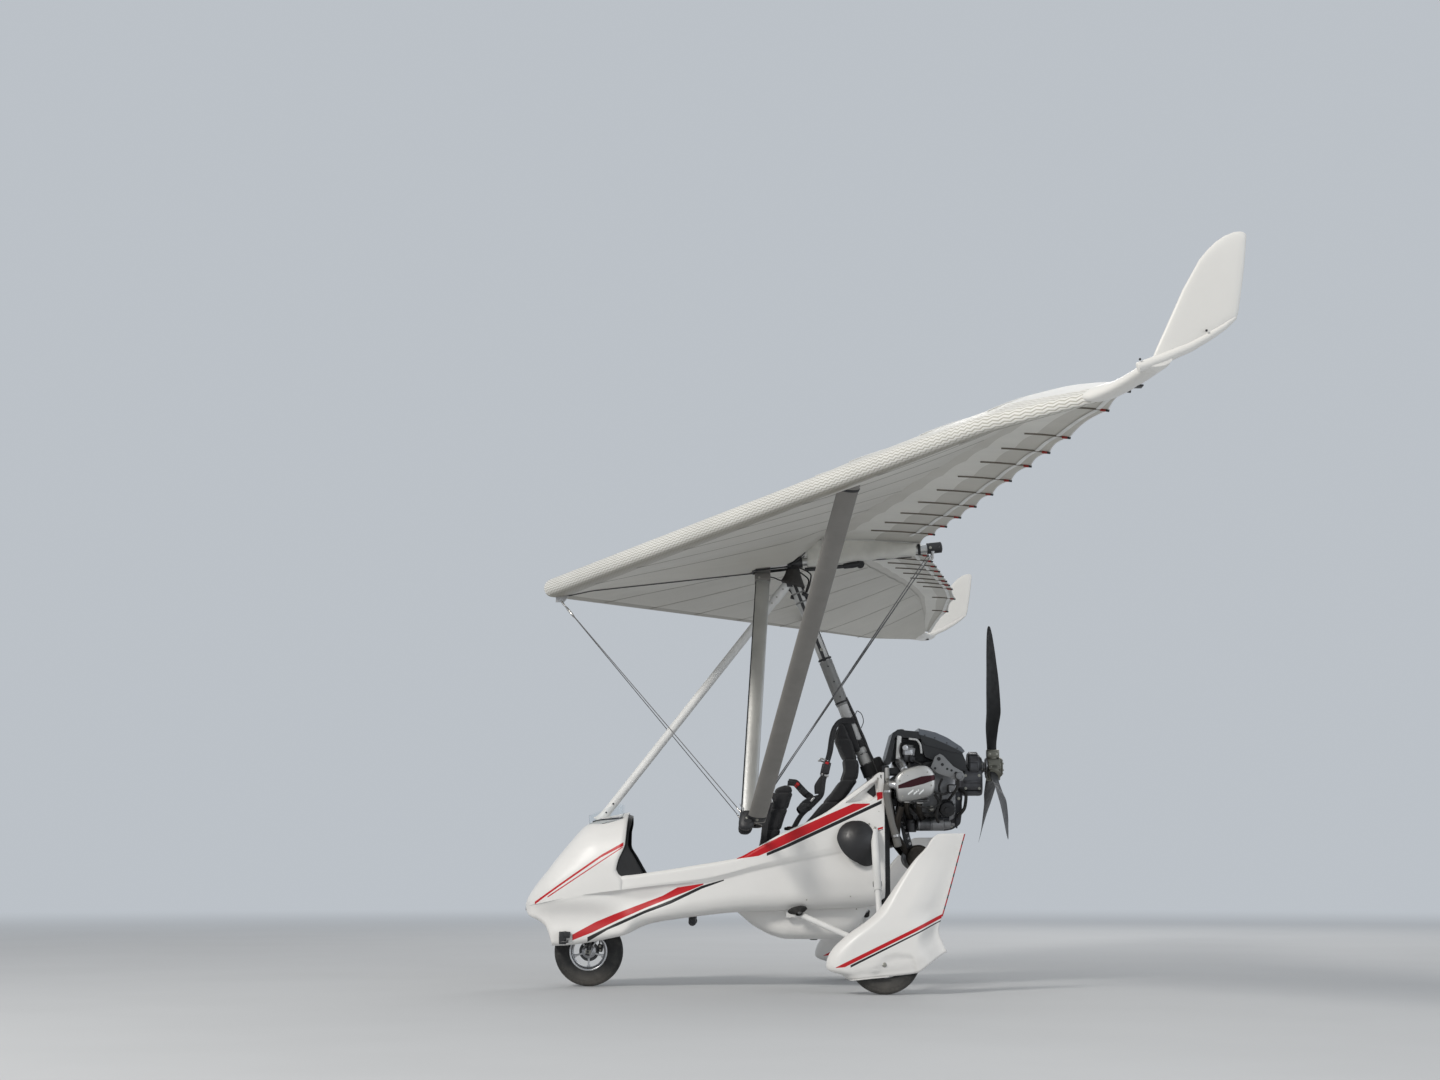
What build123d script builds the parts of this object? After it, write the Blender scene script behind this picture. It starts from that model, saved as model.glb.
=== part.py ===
from build123d import *
import math
import os

# Two-seat weight-shift ultralight aircraft: a three-wheeled trike hung below a flexible strutted wing.
# Millimetres. +X is aft, +Y is to starboard, +Z is up. The origin is on the ground below the hang point.

# Wheels
tyre_diameter = 400.0
tyre_width = 100.0
rim_diameter = 203.0
rim_wall = 5.0
wheel_hub_radius = 27.0
wheel_hub_width = 84.0
wheel_base = 1665.0
wheel_track = 1700.0
rear_axle_x = 455.0
axle_radius = 10.0
shaft_clearance = 0.05
seat_clearance = 0.3

# Front fork
rake = 12.0
fork_gap = 14.0
fork_leg_radius = 13.0
tow_pin_radius = 8.0
tow_pin_length = 24.0
crown_gap = 34.0
crown_thickness = 26.0
steerer_radius = 14.0
head_tube_radius = 24.0
head_tube_length = 165.0
foot_bar_radius = 12.0
foot_bar_half = 165.0
pedal_size = (16.0, 70.0, 90.0)

# Pod
pod_wall = 8.0
pod_groove = 3.0
pod_half_width = 330.0
pod_rear_x = 500.0
pod_nose_x = -1580.0
arch_gap = 30.0
arch_half_width = 175.0
arch_roof_z = 400.0
bulkhead_thickness = 8.0

# Frame
keel_beam_size = 60.0
keel_beam_wall = 4.0
keel_beam_z = 500.0
keel_beam_kink_x = -900.0
keel_beam_front = (-1395.0, 645.0)
engine_post_size = 40.0
engine_post_y = 120.0
engine_post_top = 1270.0
engine_post_bottom = 430.0
mast_radius = 33.0
mast_foot = (515.0, 1030.0)
front_strut_radius = 25.0
front_strut_head_x = -40.0
hang_height = 2360.0
hang_bolt_radius = 8.0
tube_start = 92.0
socket_end = 140.0
socket_wall = 6.0
web_end = 118.0

# Wing
keel_slope = 0.108
keel_rise = 122.0
keel_radius = 25.0
keel_front_x = -1410.0
keel_rear_x = 850.0
tie_down_radius = 5.0
hang_ring_wall = 10.0
hang_ring_half = 45.0
hang_lug_half = 20.0
cheek_gap = 6.0
cheek_thickness = 10.0
sail_skin = 8.0
base_bar_x = -285.0
base_bar_z = 940.0
base_bar_half = 780.0
base_bar_radius = 15.0
knob_radius = 24.0
knob_length = 60.0
upright_chord = 86.0
upright_thickness = 32.0
strut_wall = 3.0
apex_x = -190.0
lift_strut_chord = 102.0
lift_strut_thickness = 36.0
lift_strut_set_back = 45.0
lift_strut_top = (195.0, 2850.0)
stay_radius = 2.5

# Engine and propeller
propeller_x = 1165.0
propeller_z = 1268.0
propeller_radius = 835.0
hub_radius = 60.0
hub_length = 77.0
shaft_radius = 22.0
blade_count = 3

# Engine and exhaust details
barrel_radius = 62.0
fin_radius = 82.0
fin_count = 9
fin_thickness = 5.0
airbox_half = 170.0
spine_half = 60.0
lid_side = 6.0
lid_edge = 12.0
gearbox_radius = 84.0
gearbox_rear_x = 1091.0
silencer_radius = 72.0
silencer_wall = 3.0
silencer_half = 230.0
silencer_place = (700.0, 740.0)
pipe_radius = 19.0
pipe_bend = 45.0

# Suspension
spat_half_width = 80.0
spat_wall = 8.0
spat_gap = 18.0
arm_radius = 17.0
shock_radius = 16.0
shock_step = 6.0

# Worked-out places
tyre_radius = tyre_diameter / 2
rim_radius = rim_diameter / 2
wheel_y = wheel_track / 2
front_axle_x = rear_axle_x - wheel_base
steer_dir = Vector(math.sin(math.radians(rake)), 0, math.cos(math.radians(rake)))
front_hub = Vector(front_axle_x, 0, tyre_radius)
hang_point = Vector(0, 0, hang_height)
keel_dir = Vector(1, 0, keel_slope).normalized()
keel_height = hang_height + keel_rise
stub_inner_y = wheel_y - spat_half_width - 35
shock_top = Vector(438, pod_half_width + 6, 900)
shock_foot = Vector(445, wheel_y - spat_half_width - 17, 270)
outer = {}


def keel_z(x):
    """Height of the wing's keel line at a place along the aircraft."""
    return keel_height + keel_slope * x


def save(name, shape):
    """Write one named piece, and keep it for pieces that seat on it."""
    outer[name] = shape
    export_step(shape, f"parts/{name}.step")


def save_pair(name, shape):
    """Write a starboard piece and its port twin as one node."""
    save(name, Compound([shape, mirrored(shape)]))


def closed(start, *steps):
    """A face: a step of one point is a line, and a step of two points is an arc through the first."""
    edges = []
    here = start
    for step in steps:
        if len(step) == 1:
            edges.append(Line(here, step[0]))
        else:
            edges.append(ThreePointArc(here, step[0], step[1]))
        here = step[-1]
    if here != start:
        edges.append(Line(here, start))
    return make_face(Curve() + edges)


def polygon(points):
    """A face from a list of corners."""
    return make_face(Polyline(*points, close=True))


def side_plane(y):
    """Plane with X to the right and Z up, facing port."""
    return Plane(origin=(0, y, 0), x_dir=(1, 0, 0), z_dir=(0, -1, 0))


def cross_plane(x):
    """Plane with Y to the right and Z up, facing aft."""
    return Plane(origin=(x, 0, 0), x_dir=(0, 1, 0), z_dir=(1, 0, 0))


def side_slab(face, y_low, y_high):
    """Extrude a side outline across the aircraft."""
    return extrude(side_plane(y_high) * face, y_high - y_low)


def block(x_low, x_high, y_low, y_high, z_low, z_high):
    """A box between its limits."""
    place = Location(((x_low + x_high) / 2, (y_low + y_high) / 2, (z_low + z_high) / 2))
    return place * Box(x_high - x_low, y_high - y_low, z_high - z_low)


def rod(start, end, radius, bore=0.0):
    """A round bar between two points, or a tube if it has a bore."""
    start, end = Vector(*start), Vector(*end)
    place = Plane(origin=start, z_dir=end - start)
    bar = Part() + Solid.make_cylinder(radius, (end - start).length, place)
    if bore:
        bar = bar - Solid.make_cylinder(bore, (end - start).length, place)
    return bar


def blade_bar(start, end, chord, thickness, wall, facing=(1, 0, 0)):
    """A streamlined tube with an oval section, its chord turned to a given direction."""
    start, end, facing = Vector(*start), Vector(*end), Vector(*facing)
    along = (end - start).normalized()
    across = facing - along * facing.dot(along)
    place = Plane(origin=start, x_dir=across, z_dir=along)
    section = Ellipse(chord / 2, thickness / 2) - Ellipse(chord / 2 - wall, thickness / 2 - wall)
    return extrude(place * section, (end - start).length)


def biggest(shape):
    """The largest solid of a shape."""
    return Part() + max(shape.solids(), key=lambda solid: solid.volume)


def trim(shape, *seats):
    """Cut a piece back to what it seats on, and keep its main length."""
    for seat in seats:
        shape = shape - seat
    return biggest(shape)


def mirrored(shape):
    """The same piece on the other side of the aircraft."""
    return mirror(shape, Plane.XZ)


def between(table, x):
    """Read a table of two columns, place and value, at a place between its rows."""
    for (x0, v0), (x1, v1) in zip(table, table[1:]):
        if x <= x1:
            return v0 + (v1 - v0) * (x - x0) / (x1 - x0)
    return table[-1][1]


# Wheels: a tyre and a spoked rim each
def wheel_axis(centre):
    return Plane(origin=centre, x_dir=(1, 0, 0), z_dir=(0, -1, 0))


def make_tyre(centre):
    """A balloon tyre turned about its axle, with rounded shoulders and beads on the rim."""
    half = tyre_width / 2
    bead = rim_radius + seat_clearance
    shoulder = tyre_radius - tyre_width * 0.22
    section = closed(
        (bead, -half * 0.72),
        [(bead + (tyre_radius - bead) * 0.35, -half)],
        [(shoulder, -half)],
        [(tyre_radius, 0), (shoulder, half)],
        [(bead + (tyre_radius - bead) * 0.35, half)],
        [(bead, half * 0.72)],
    )
    turned = revolve(Plane.XZ * section, Axis.Z)
    return wheel_axis(centre) * turned


def make_rim(centre):
    """A rim with a rolled edge, spokes and a hub bored for the axle."""
    half = tyre_width / 2 * 0.8
    ring = Cylinder(rim_radius, 2 * half) - Cylinder(rim_radius - rim_wall, 2 * half)
    hub = Cylinder(wheel_hub_radius, wheel_hub_width)
    spokes = [Rot(0, 0, 60 * turn) * Pos(rim_radius / 2, 0, 0) * Box(rim_radius - 3, 18, 14) for turn in range(6)]
    disc = Cylinder(wheel_hub_radius + 16, 12)
    wheel = ring + hub + disc
    for spoke in spokes:
        wheel = wheel + spoke
    return wheel_axis(centre) * (wheel - Cylinder(axle_radius + shaft_clearance, wheel_hub_width * 2))


wheel_places = [("front", front_axle_x, 0.0), ("left_rear", rear_axle_x, -wheel_y), ("right_rear", rear_axle_x, wheel_y)]


# Pod outline. Columns: x, bottom z, half width, bottom corner radius
pod_stations = [
    (pod_nose_x, 448.0, 0.29, 40.0),
    (-1500.0, 378.0, 0.56, 70.0),
    (-1418.0, 234.0, 0.70, 30.0),
    (-1019.0, 291.0, 0.84, 40.0),
    (-611.0, 399.0, 0.95, 90.0),
    (-345.0, 427.0, 1.0, 90.0),
    (426.0, 461.0, 1.0, 90.0),
    (pod_rear_x, 508.0, 1.0, 90.0),
]
pod_width_at = [(x, share * pod_half_width) for x, _, share, _ in pod_stations]
pod_floor_at = [(x, z) for x, z, _, _ in pod_stations]
# Line where the upper mouldings meet the tub. Columns: x, z
seam = [(-1600.0, 486.0), (-1233.0, 531.0), (-893.0, 573.0), (-534.0, 620.0), (-215.0, 685.0), (250.0, 768.0),
        (pod_rear_x + 20, 816.0)]
# Top edge of the cockpit sides. Columns: x, z
rail = [(-1003.0, 636.0), (-800.0, 662.0), (-563.0, 699.0), (-350.0, 735.0), (-214.0, 807.0), (-108.0, 867.0),
        (153.0, 990.0), (478.0, 1225.0), (pod_rear_x - 15, 1225.0)]
# Ridge of the nose cowl. Columns: x, z
ridge = [(pod_nose_x, 492.0), (-1500.0, 602.0), (-1418.0, 713.0), (-1226.0, 931.0), (-1100.0, 978.0), (-960.0, 1006.0)]
cowl_end_x = -1003.0


def tub_section(x, floor_z, half, corner, top_z):
    """A tub cross-section: upright sides, round bottom corners and a flat floor."""
    knee = corner * (1 - math.sqrt(0.5))
    return cross_plane(x) * closed(
        (-half, top_z),
        [(-half, floor_z + corner)],
        [(-half + knee, floor_z + knee), (-half + corner, floor_z)],
        [(half - corner, floor_z)],
        [(half - knee, floor_z + knee), (half, floor_z + corner)],
        [(half, top_z)],
    )


def tub_body(inset):
    """The tub as a solid, drawn in by an inset on every side."""
    sections = []
    for x, floor_z, share, corner in pod_stations:
        if x == pod_nose_x:
            x += inset - pod_groove
        half = share * pod_half_width - inset
        sections.append(tub_section(x, floor_z + inset - pod_groove, half, corner - inset / 2, 900.0))
    return loft(sections, ruled=True)


def below_seam(y):
    """Everything below the seam, as a slab across the pod."""
    corners = seam + [(seam[-1][0], 0.0), (seam[0][0], 0.0)]
    return side_slab(polygon(corners), -y, y)


tub_outer = tub_body(pod_groove)
tub_inner = tub_body(pod_groove + pod_wall)
tub_below = below_seam(pod_half_width + 20)


def make_tub():
    """The tub: a thin shell open at the top and back, and below over the steered wheel."""
    shell = tub_outer - tub_inner
    arch = block(front_axle_x - tyre_radius - arch_gap, front_axle_x + tyre_radius + arch_gap,
                 -arch_half_width, arch_half_width, 0, arch_roof_z)
    rear = block(pod_rear_x - pod_wall, pod_rear_x + 10, -pod_half_width + 90, pod_half_width - 90, 480, 900)
    beam = keel_beam_size / 2 + 4
    beam_slot = block(pod_rear_x - 90, pod_rear_x + 10, -beam, beam, keel_beam_z - beam, keel_beam_z + beam)
    return biggest((shell & tub_below) - arch - rear - beam_slot)


def cowl_body(inset):
    """The nose cowl as a solid: straight sides and a crowned top at each station."""
    sections = []
    for x, top_z in ridge:
        place = x + inset if x == pod_nose_x else x
        half = between(pod_width_at, x) - inset
        low_z = between(seam, x) - 40
        crown = top_z - inset
        shoulder = between(seam, x) + (crown - between(seam, x)) * 0.5
        sections.append(cross_plane(place) * closed(
            (-half, low_z),
            [(-half, shoulder)],
            [(0, crown), (half, shoulder)],
            [(half, low_z)],
        ))
    return loft(sections, ruled=True)


cowl_outer = cowl_body(0.0)


def make_cowl():
    """The nose cowl: a crowned shell from the seam to its curved rear edge, with a hole for the front strut."""
    shell = cowl_outer - cowl_body(pod_wall)
    keep = polygon(
        [(seam[0][0], seam[0][1]), (seam[1][0], seam[1][1]), (cowl_end_x, between(seam, cowl_end_x)),
         (cowl_end_x, 636.0), (-1036.0, 671.0), (-990.0, 812.0), (-970.0, 1040.0), (seam[0][0], 1040.0)])
    cowl = shell & side_slab(keep, -pod_half_width, pod_half_width)
    strut_hole = rod(front_strut_low, front_strut_high, front_strut_radius + 3)
    return biggest(cowl - strut_hole)


def make_side_panel():
    """The starboard cockpit side: a curved panel from the seam up to the rounded rail."""
    sections = []
    for x in [cowl_end_x, -611.0, -345.0, 426.0, pod_rear_x - 15]:
        half = between(pod_width_at, x)
        sections.append(cross_plane(x) * polygon(
            [(half - pod_wall, 400), (half, 400), (half, 1300), (half - pod_wall, 1300)]))
    wall = loft(sections, ruled=True)
    low = [point for point in seam if cowl_end_x < point[0] < pod_rear_x]
    low = [(cowl_end_x, between(seam, cowl_end_x))] + low + [(pod_rear_x - 15, between(seam, pod_rear_x - 15))]
    keep = polygon(low + rail[::-1])
    return biggest(wall & side_slab(keep, 0, pod_half_width + 20))


# Frame lines that several pieces share
def along_front_strut(distance):
    """Point on the front strut's line, measured down from level with the hang bolt."""
    foot = Vector(keel_beam_front[0], 0, keel_beam_front[1])
    head = hang_point + Vector(front_strut_head_x, 0, 0)
    return head + (foot - head).normalized() * distance


def along_mast(distance):
    """Point on the mast's line, measured down from the hang point."""
    foot = Vector(mast_foot[0], 0, mast_foot[1])
    return hang_point + (foot - hang_point).normalized() * distance


mast_length = (Vector(mast_foot[0], 0, mast_foot[1]) - hang_point).length
front_strut_high = along_front_strut(tube_start)
front_strut_low = Vector(keel_beam_front[0], 0, keel_beam_front[1])


def make_keel_beam():
    """The trike's box beam from the nose to the engine frame, with its steering head and floor saddles."""
    half = keel_beam_size / 2
    line = [(keel_beam_front[0] - 20, keel_beam_front[1]), (keel_beam_kink_x, keel_beam_z),
            (pod_rear_x, keel_beam_z)]
    tall = [(x, z + half) for x, z in line] + [(x, z - half) for x, z in line[::-1]]
    bore = half - keel_beam_wall
    hollow = [(x - 1, z + bore) for x, z in line[:1]] + [(x, z + bore) for x, z in line[1:]]
    hollow += [(x, z - bore) for x, z in line[:0:-1]] + [(line[0][0] - 1, line[0][1] - bore)]
    beam = side_slab(polygon(tall), -half, half) - side_slab(polygon(hollow), -bore, bore)
    head_low = front_hub + steer_dir * head_low_s
    head_high = head_low + steer_dir * head_tube_length
    beam = beam + rod(head_low, head_high, head_tube_radius)
    beam = beam - rod(head_low - steer_dir * 5, head_high + steer_dir * 5, steerer_radius + shaft_clearance)
    for x in (-560.0, -60.0, 400.0):
        saddle = block(x - 30, x + 30, -half, half, 380, keel_beam_z - half)
        beam = beam + (saddle & tub_inner)
    return beam


crown_s = tyre_radius + crown_gap
head_low_s = crown_s + crown_thickness + 1.0


def make_fork():
    """The steered fork: two raked legs, a crown, a steerer in the head tube, the axle and its tow pins."""
    leg_y = tyre_width / 2 + fork_gap + fork_leg_radius
    fork = Part()
    for side in (-1, 1):
        foot = front_hub + Vector(0, side * leg_y, 0)
        fork = fork + rod(foot - steer_dir * 22, foot + steer_dir * (crown_s + 8), fork_leg_radius)
    crown_plane = Plane(origin=front_hub + steer_dir * crown_s, x_dir=(0, 1, 0), z_dir=steer_dir)
    crown = extrude(crown_plane * RectangleRounded(2 * leg_y + 44, 62, 20), crown_thickness)
    steerer = rod(front_hub + steer_dir * (crown_s + 4),
                  front_hub + steer_dir * (head_low_s + head_tube_length + 60), steerer_radius)
    leg_out = Vector(0, leg_y + fork_leg_radius, 0)
    pin_out = leg_out + Vector(0, tow_pin_length, 0)
    axle = rod(front_hub - leg_out, front_hub + leg_out, axle_radius)
    pins = rod(front_hub - pin_out, front_hub + pin_out, tow_pin_radius)
    return fork + crown + steerer + axle + pins


def make_foot_bar():
    """The bar across the steerer's top that the pilot's feet turn, with a pedal at each end."""
    centre = front_hub + steer_dir * (head_low_s + head_tube_length + 24)
    reach = Vector(0, foot_bar_half, 0)
    bar = rod(centre - reach, centre + reach, foot_bar_radius)
    bar = bar + rod(centre - steer_dir * 22, centre + steer_dir * 22, steerer_radius + 8)
    for side in (-1, 1):
        middle = centre + Vector(0, side * (foot_bar_half - 30), 22)
        bar = bar + Location(middle) * Rot(0, rake, 0) * Box(*pedal_size)
    return bar - rod(centre - steer_dir * 30, centre + steer_dir * 30, steerer_radius + seat_clearance)


def make_engine_frame():
    """Two posts behind the pod, joined by cross members that carry the mast, the arms and the engine."""
    size = engine_post_size
    x0, x1 = pod_rear_x, pod_rear_x + size
    frame = Part()
    for side in (-1, 1):
        y = side * engine_post_y
        frame = frame + block(x0, x1, y - size / 2, y + size / 2, engine_post_bottom, engine_post_top)
    for low, high in ((engine_post_bottom, engine_post_bottom + 60), (keel_beam_z - 30, keel_beam_z + 30),
                      (mast_foot[1] - 50, mast_foot[1]), (engine_post_top - 30, engine_post_top)):
        frame = frame + block(x0, x1, -engine_post_y, engine_post_y, low, high)
    mast_pad = block(mast_foot[0] - mast_radius - 8, x1, -mast_radius - 4, mast_radius + 4,
                     mast_foot[1] - 50, mast_foot[1])
    for y in (-engine_post_y, engine_post_y):
        for z in engine_mount_heights:
            frame = frame + block(x1, case_x[0], y - 18, y + 18, z - 18, z + 18)
    return frame + mast_pad


def make_mast():
    """The mast tube, leaning forward from the engine frame to the hang point."""
    tube = rod(along_mast(tube_start), along_mast(mast_length + 60), mast_radius, mast_radius - 3)
    return biggest(tube - block(0, 1200, -200, 200, 0, mast_foot[1]))


def make_mast_head():
    """Sockets for the mast and front strut, with two cheeks that hold the hang bolt."""
    cheek_in = hang_lug_half + cheek_gap
    cheek_out = cheek_in + cheek_thickness
    head = rod(along_mast(74), along_mast(socket_end), mast_radius + socket_wall)
    head = head + rod(along_front_strut(74), along_front_strut(socket_end), front_strut_radius + socket_wall)
    left, right = along_front_strut(web_end), along_mast(web_end)
    web = polygon([(-22, hang_height - 40), (22, hang_height - 40), (right.X + 10, right.Z), (left.X - 10, left.Z)])
    head = head + side_slab(web, -cheek_out, cheek_out)
    cheek = closed((-20, hang_height), [(0, hang_height + 20), (20, hang_height)],
                   [(right.X, right.Z + 10)], [(left.X, left.Z + 10)])
    for side in (-1, 1):
        low, high = sorted((side * cheek_in, side * cheek_out))
        head = head + side_slab(cheek, low, high)
    head = head - rod(along_mast(tube_start), along_mast(260), mast_radius + seat_clearance)
    head = head - rod(along_front_strut(tube_start), along_front_strut(260), front_strut_radius + seat_clearance)
    room = block(-60, 60, -cheek_in, cheek_in, hang_height - 34, hang_height + 60)
    head = head - room
    bolt = rod((0, -cheek_out - 8, hang_height), (0, cheek_out + 8, hang_height), hang_bolt_radius)
    return head + bolt


def make_hang_block():
    """The block that pitches on the hang bolt and carries the keel tube in its ring."""
    middle = Vector(0, 0, keel_z(0))
    ring = rod(middle - keel_dir * hang_ring_half, middle + keel_dir * hang_ring_half, keel_radius + hang_ring_wall)
    lug = block(-28, 28, -hang_lug_half, hang_lug_half, hang_height, keel_z(0))
    boss = rod((0, -hang_lug_half, hang_height), (0, hang_lug_half, hang_height), 26)
    whole = ring + lug + boss
    whole = whole - rod(middle - keel_dir * 200, middle + keel_dir * 200, keel_radius + shaft_clearance)
    return whole - rod((0, -50, hang_height), (0, 50, hang_height), hang_bolt_radius + shaft_clearance)


# Wing. Columns: y, leading edge x, trailing edge x, nose height, crest above the chord line,
# underside at the nose and trailing edge, both from the keel line
wing_stations = [
    (0.0, -1500.0, 752.0, 124.0, 171.0, -50.0, 38.0),
    (1000.0, -985.0, 920.0, 120.0, 166.0, -62.0, 38.0),
    (2900.0, -6.0, 1224.0, 110.0, 148.0, -85.0, 72.0),
    (3500.0, 303.0, 1300.0, 98.0, 126.0, -92.0, 66.0),
    (4150.0, 637.0, 1298.0, 84.0, 96.0, -100.0, 28.0),
    (4620.0, 1070.0, 1205.0, 56.0, 44.0, -106.0, -62.0),
]
crest_share, join_share, late_share = 0.33, 0.73, 0.87
hang_pocket_half_x = 110.0
hang_pocket_half_y = 60.0


def circle_z(p, q, r, x):
    """Height at x on the upper side of the circle through three points."""
    (x1, z1), (x2, z2), (x3, z3) = p, q, r
    d = 2 * (x1 * (z2 - z3) + x2 * (z3 - z1) + x3 * (z1 - z2))
    s1, s2, s3 = x1 * x1 + z1 * z1, x2 * x2 + z2 * z2, x3 * x3 + z3 * z3
    cx = (s1 * (z2 - z3) + s2 * (z3 - z1) + s3 * (z1 - z2)) / d
    cz = (s1 * (x3 - x2) + s2 * (x1 - x3) + s3 * (x2 - x1)) / d
    return cz + math.sqrt((x1 - cx) ** 2 + (z1 - cz) ** 2 - (x - cx) ** 2)


def sail_section(y, lead, trail, nose_height, crest_height, under, tail):
    """A double-surface sail section: round nose, cambered top, straight underside and thin trailing part."""
    chord = trail - lead
    nose_z = keel_z(lead) + under
    nose_low = (lead + 0.5 * nose_height, nose_z)
    nose = (lead, nose_z + 0.5 * nose_height)
    nose_high = (lead + 0.5 * nose_height, nose_z + nose_height)
    end = (trail, keel_z(trail) + tail + sail_skin)
    crest = (lead + crest_share * chord, nose_z + crest_share * (end[1] - nose_z) + crest_height)
    join_x, late_x = lead + join_share * chord, lead + late_share * chord
    join = (join_x, circle_z(nose_high, crest, end, join_x) - sail_skin)
    late = (late_x, circle_z(nose_high, crest, end, late_x) - sail_skin)
    return side_plane(y) * closed(nose_low, [nose, nose_high], [crest, end], [(trail, end[1] - sail_skin)],
                                  [late, join])


def make_right_sail():
    """The starboard half of the sail, with a channel for the keel and a pocket round the hang block."""
    sail = loft([sail_section(*row) for row in wing_stations], ruled=True)
    x0, x1 = keel_front_x - 25, keel_rear_x + 50
    roof = keel_radius + seat_clearance
    channel = polygon([(x0, keel_z(x0) + roof), (x1, keel_z(x1) + roof), (x1, keel_z(x1) - 250),
                       (x0, keel_z(x0) - 250)])
    sail = sail - side_slab(channel, -40, keel_radius + 6)
    x0, x1 = -hang_pocket_half_x, hang_pocket_half_x
    roof = keel_radius + hang_ring_wall + 8
    pocket = polygon([(x0, keel_z(x0) + roof), (x1, keel_z(x1) + roof), (x1, keel_z(x1) - 250),
                      (x0, keel_z(x0) - 250)])
    return biggest(sail - side_slab(pocket, -60, hang_pocket_half_y))


def lens(plane, chord, thick):
    """A pointed section of two arcs, centred on its plane."""
    return plane * closed((-chord / 2, 0), [(0, thick / 2), (chord / 2, 0)], [(0, -thick / 2), (-chord / 2, 0)])


winglet_y = 4985.0
winglet_half = 11.0
# The winglet's outline, from its root forward: x, and height above the keel line
winglet_side = [(1205.0, -62.0), (1266.0, 68.0), (1338.0, 216.0), (1405.0, 327.0), (1471.0, 390.0), (1540.0, 419.0),
                (1574.0, 416.0), (1587.0, 400.0), (1568.0, 235.0), (1539.0, 84.0), (1425.0, 21.0), (1420.0, 6.0)]
# The fairing from the sail's tip to the winglet's root. Columns: y, x, height above the keel line, half length,
# half height
winglet_root = [(0.0, 1132.0, -78.0, 60.0, 26.0), (175.0, 1178.0, -74.0, 52.0, 30.0), (365.0, 1232.0, -66.0, 42.0, 24.0)]


def make_right_winglet():
    """The starboard winglet: a raked fin on a fairing that carries on from the sail's tip."""
    fin = side_slab(polygon([(x, keel_z(x) + rise) for x, rise in winglet_side]), winglet_y - winglet_half,
                    winglet_y + winglet_half)
    tip_y = wing_stations[-1][0]
    rings = [side_plane(tip_y + y) * (Pos(x, keel_z(x) + rise) * Rot(0, 0, 12) * Ellipse(long, high))
             for y, x, rise, long, high in winglet_root]
    fairing = loft(rings, ruled=True)
    heel, toe = winglet_side[-1], winglet_root[-1]
    roll = rod((toe[1], winglet_y, keel_z(toe[1]) + toe[2]), (heel[0], winglet_y, keel_z(heel[0]) + heel[1]), 20)
    return fin + fairing + roll


def make_apex_bracket():
    """The bracket below the keel that the two uprights hang from."""
    low = keel_z(apex_x) - keel_radius - 62
    body = block(apex_x - 45, apex_x + 45, -34, 34, low, keel_z(apex_x))
    return body - rod((keel_front_x, 0, keel_z(keel_front_x)), (keel_rear_x, 0, keel_z(keel_rear_x)),
                      keel_radius + seat_clearance)


corner = Vector(base_bar_x, base_bar_half, base_bar_z)
nose_eye = Vector(keel_front_x + 10, 0, keel_z(keel_front_x) - 68)


def make_knobs():
    """The corner fittings at the base bar's ends."""
    knobs = []
    for side in (-1, 1):
        middle = Vector(base_bar_x, side * base_bar_half, base_bar_z)
        half = Vector(0, knob_length / 2, 0)
        knobs.append(fillet(rod(middle - half, middle + half, knob_radius).edges(), 8))
    return knobs


def make_nose_plate():
    """The plate below the keel's front end that holds the front stays."""
    shape = polygon([(keel_front_x - 10, keel_z(keel_front_x) - 10), (keel_front_x + 90, keel_z(keel_front_x) - 10),
                     (nose_eye.X + 25, nose_eye.Z - 14), (nose_eye.X - 25, nose_eye.Z - 14)])
    plate = side_slab(shape, -8, 8)
    return plate - rod((keel_front_x - 60, 0, keel_z(keel_front_x - 60)), (keel_rear_x, 0, keel_z(keel_rear_x)),
                       keel_radius + seat_clearance)


def make_keel_end():
    """The fitting on the keel's rear end, bored for a tie-down, with a cap."""
    start = Vector(keel_rear_x, 0, keel_z(keel_rear_x))
    end = rod(start - keel_dir * 60, start + keel_dir * 26, keel_radius + 8)
    end = end - rod(start - keel_dir * 80, start, keel_radius + seat_clearance)
    hole = start + keel_dir * 13
    return end - rod(hole - Vector(0, 60, 0), hole + Vector(0, 60, 0), tie_down_radius)


engine_mount_heights = (1060.0, 1240.0)

# Engine
case_x = (620.0, 967.0)
case_half = 140.0
gearbox_step_x = 1009.0
gearbox_low_z = 1180.0
gearbox_low_size = (180.0, 160.0)
cylinder_x, cylinder_z = 676.0, 1132.0
head_y = (300.0, 384.0)


def make_crankcase():
    """The engine's block with its sump and top deck."""
    shape = polygon([(case_x[0], 1298), (case_x[0], 1014), (695, 895), (934, 895), (case_x[1], 1074),
                     (case_x[1], 1298)])
    return side_slab(shape, -case_half, case_half)


def make_cylinder():
    """A starboard barrel with its cooling fins."""
    barrel = rod((cylinder_x, case_half, cylinder_z), (cylinder_x, head_y[0], cylinder_z), barrel_radius)
    thick = fin_thickness
    pitch = (head_y[0] - case_half) / (fin_count + 1)
    for index in range(1, fin_count + 1):
        y = case_half + index * pitch
        barrel = barrel + rod((cylinder_x, y - thick / 2, cylinder_z), (cylinder_x, y + thick / 2, cylinder_z), fin_radius)
    return barrel


def make_head_cover():
    """A starboard cylinder head with a rounded rocker cover."""
    head = block(563, 788, head_y[0], head_y[1], 1024, 1248)
    head = fillet(head.edges().filter_by(Axis.Y), 42)
    return fillet(head.faces().sort_by(Axis.Y)[-1].edges(), 18)


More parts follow.
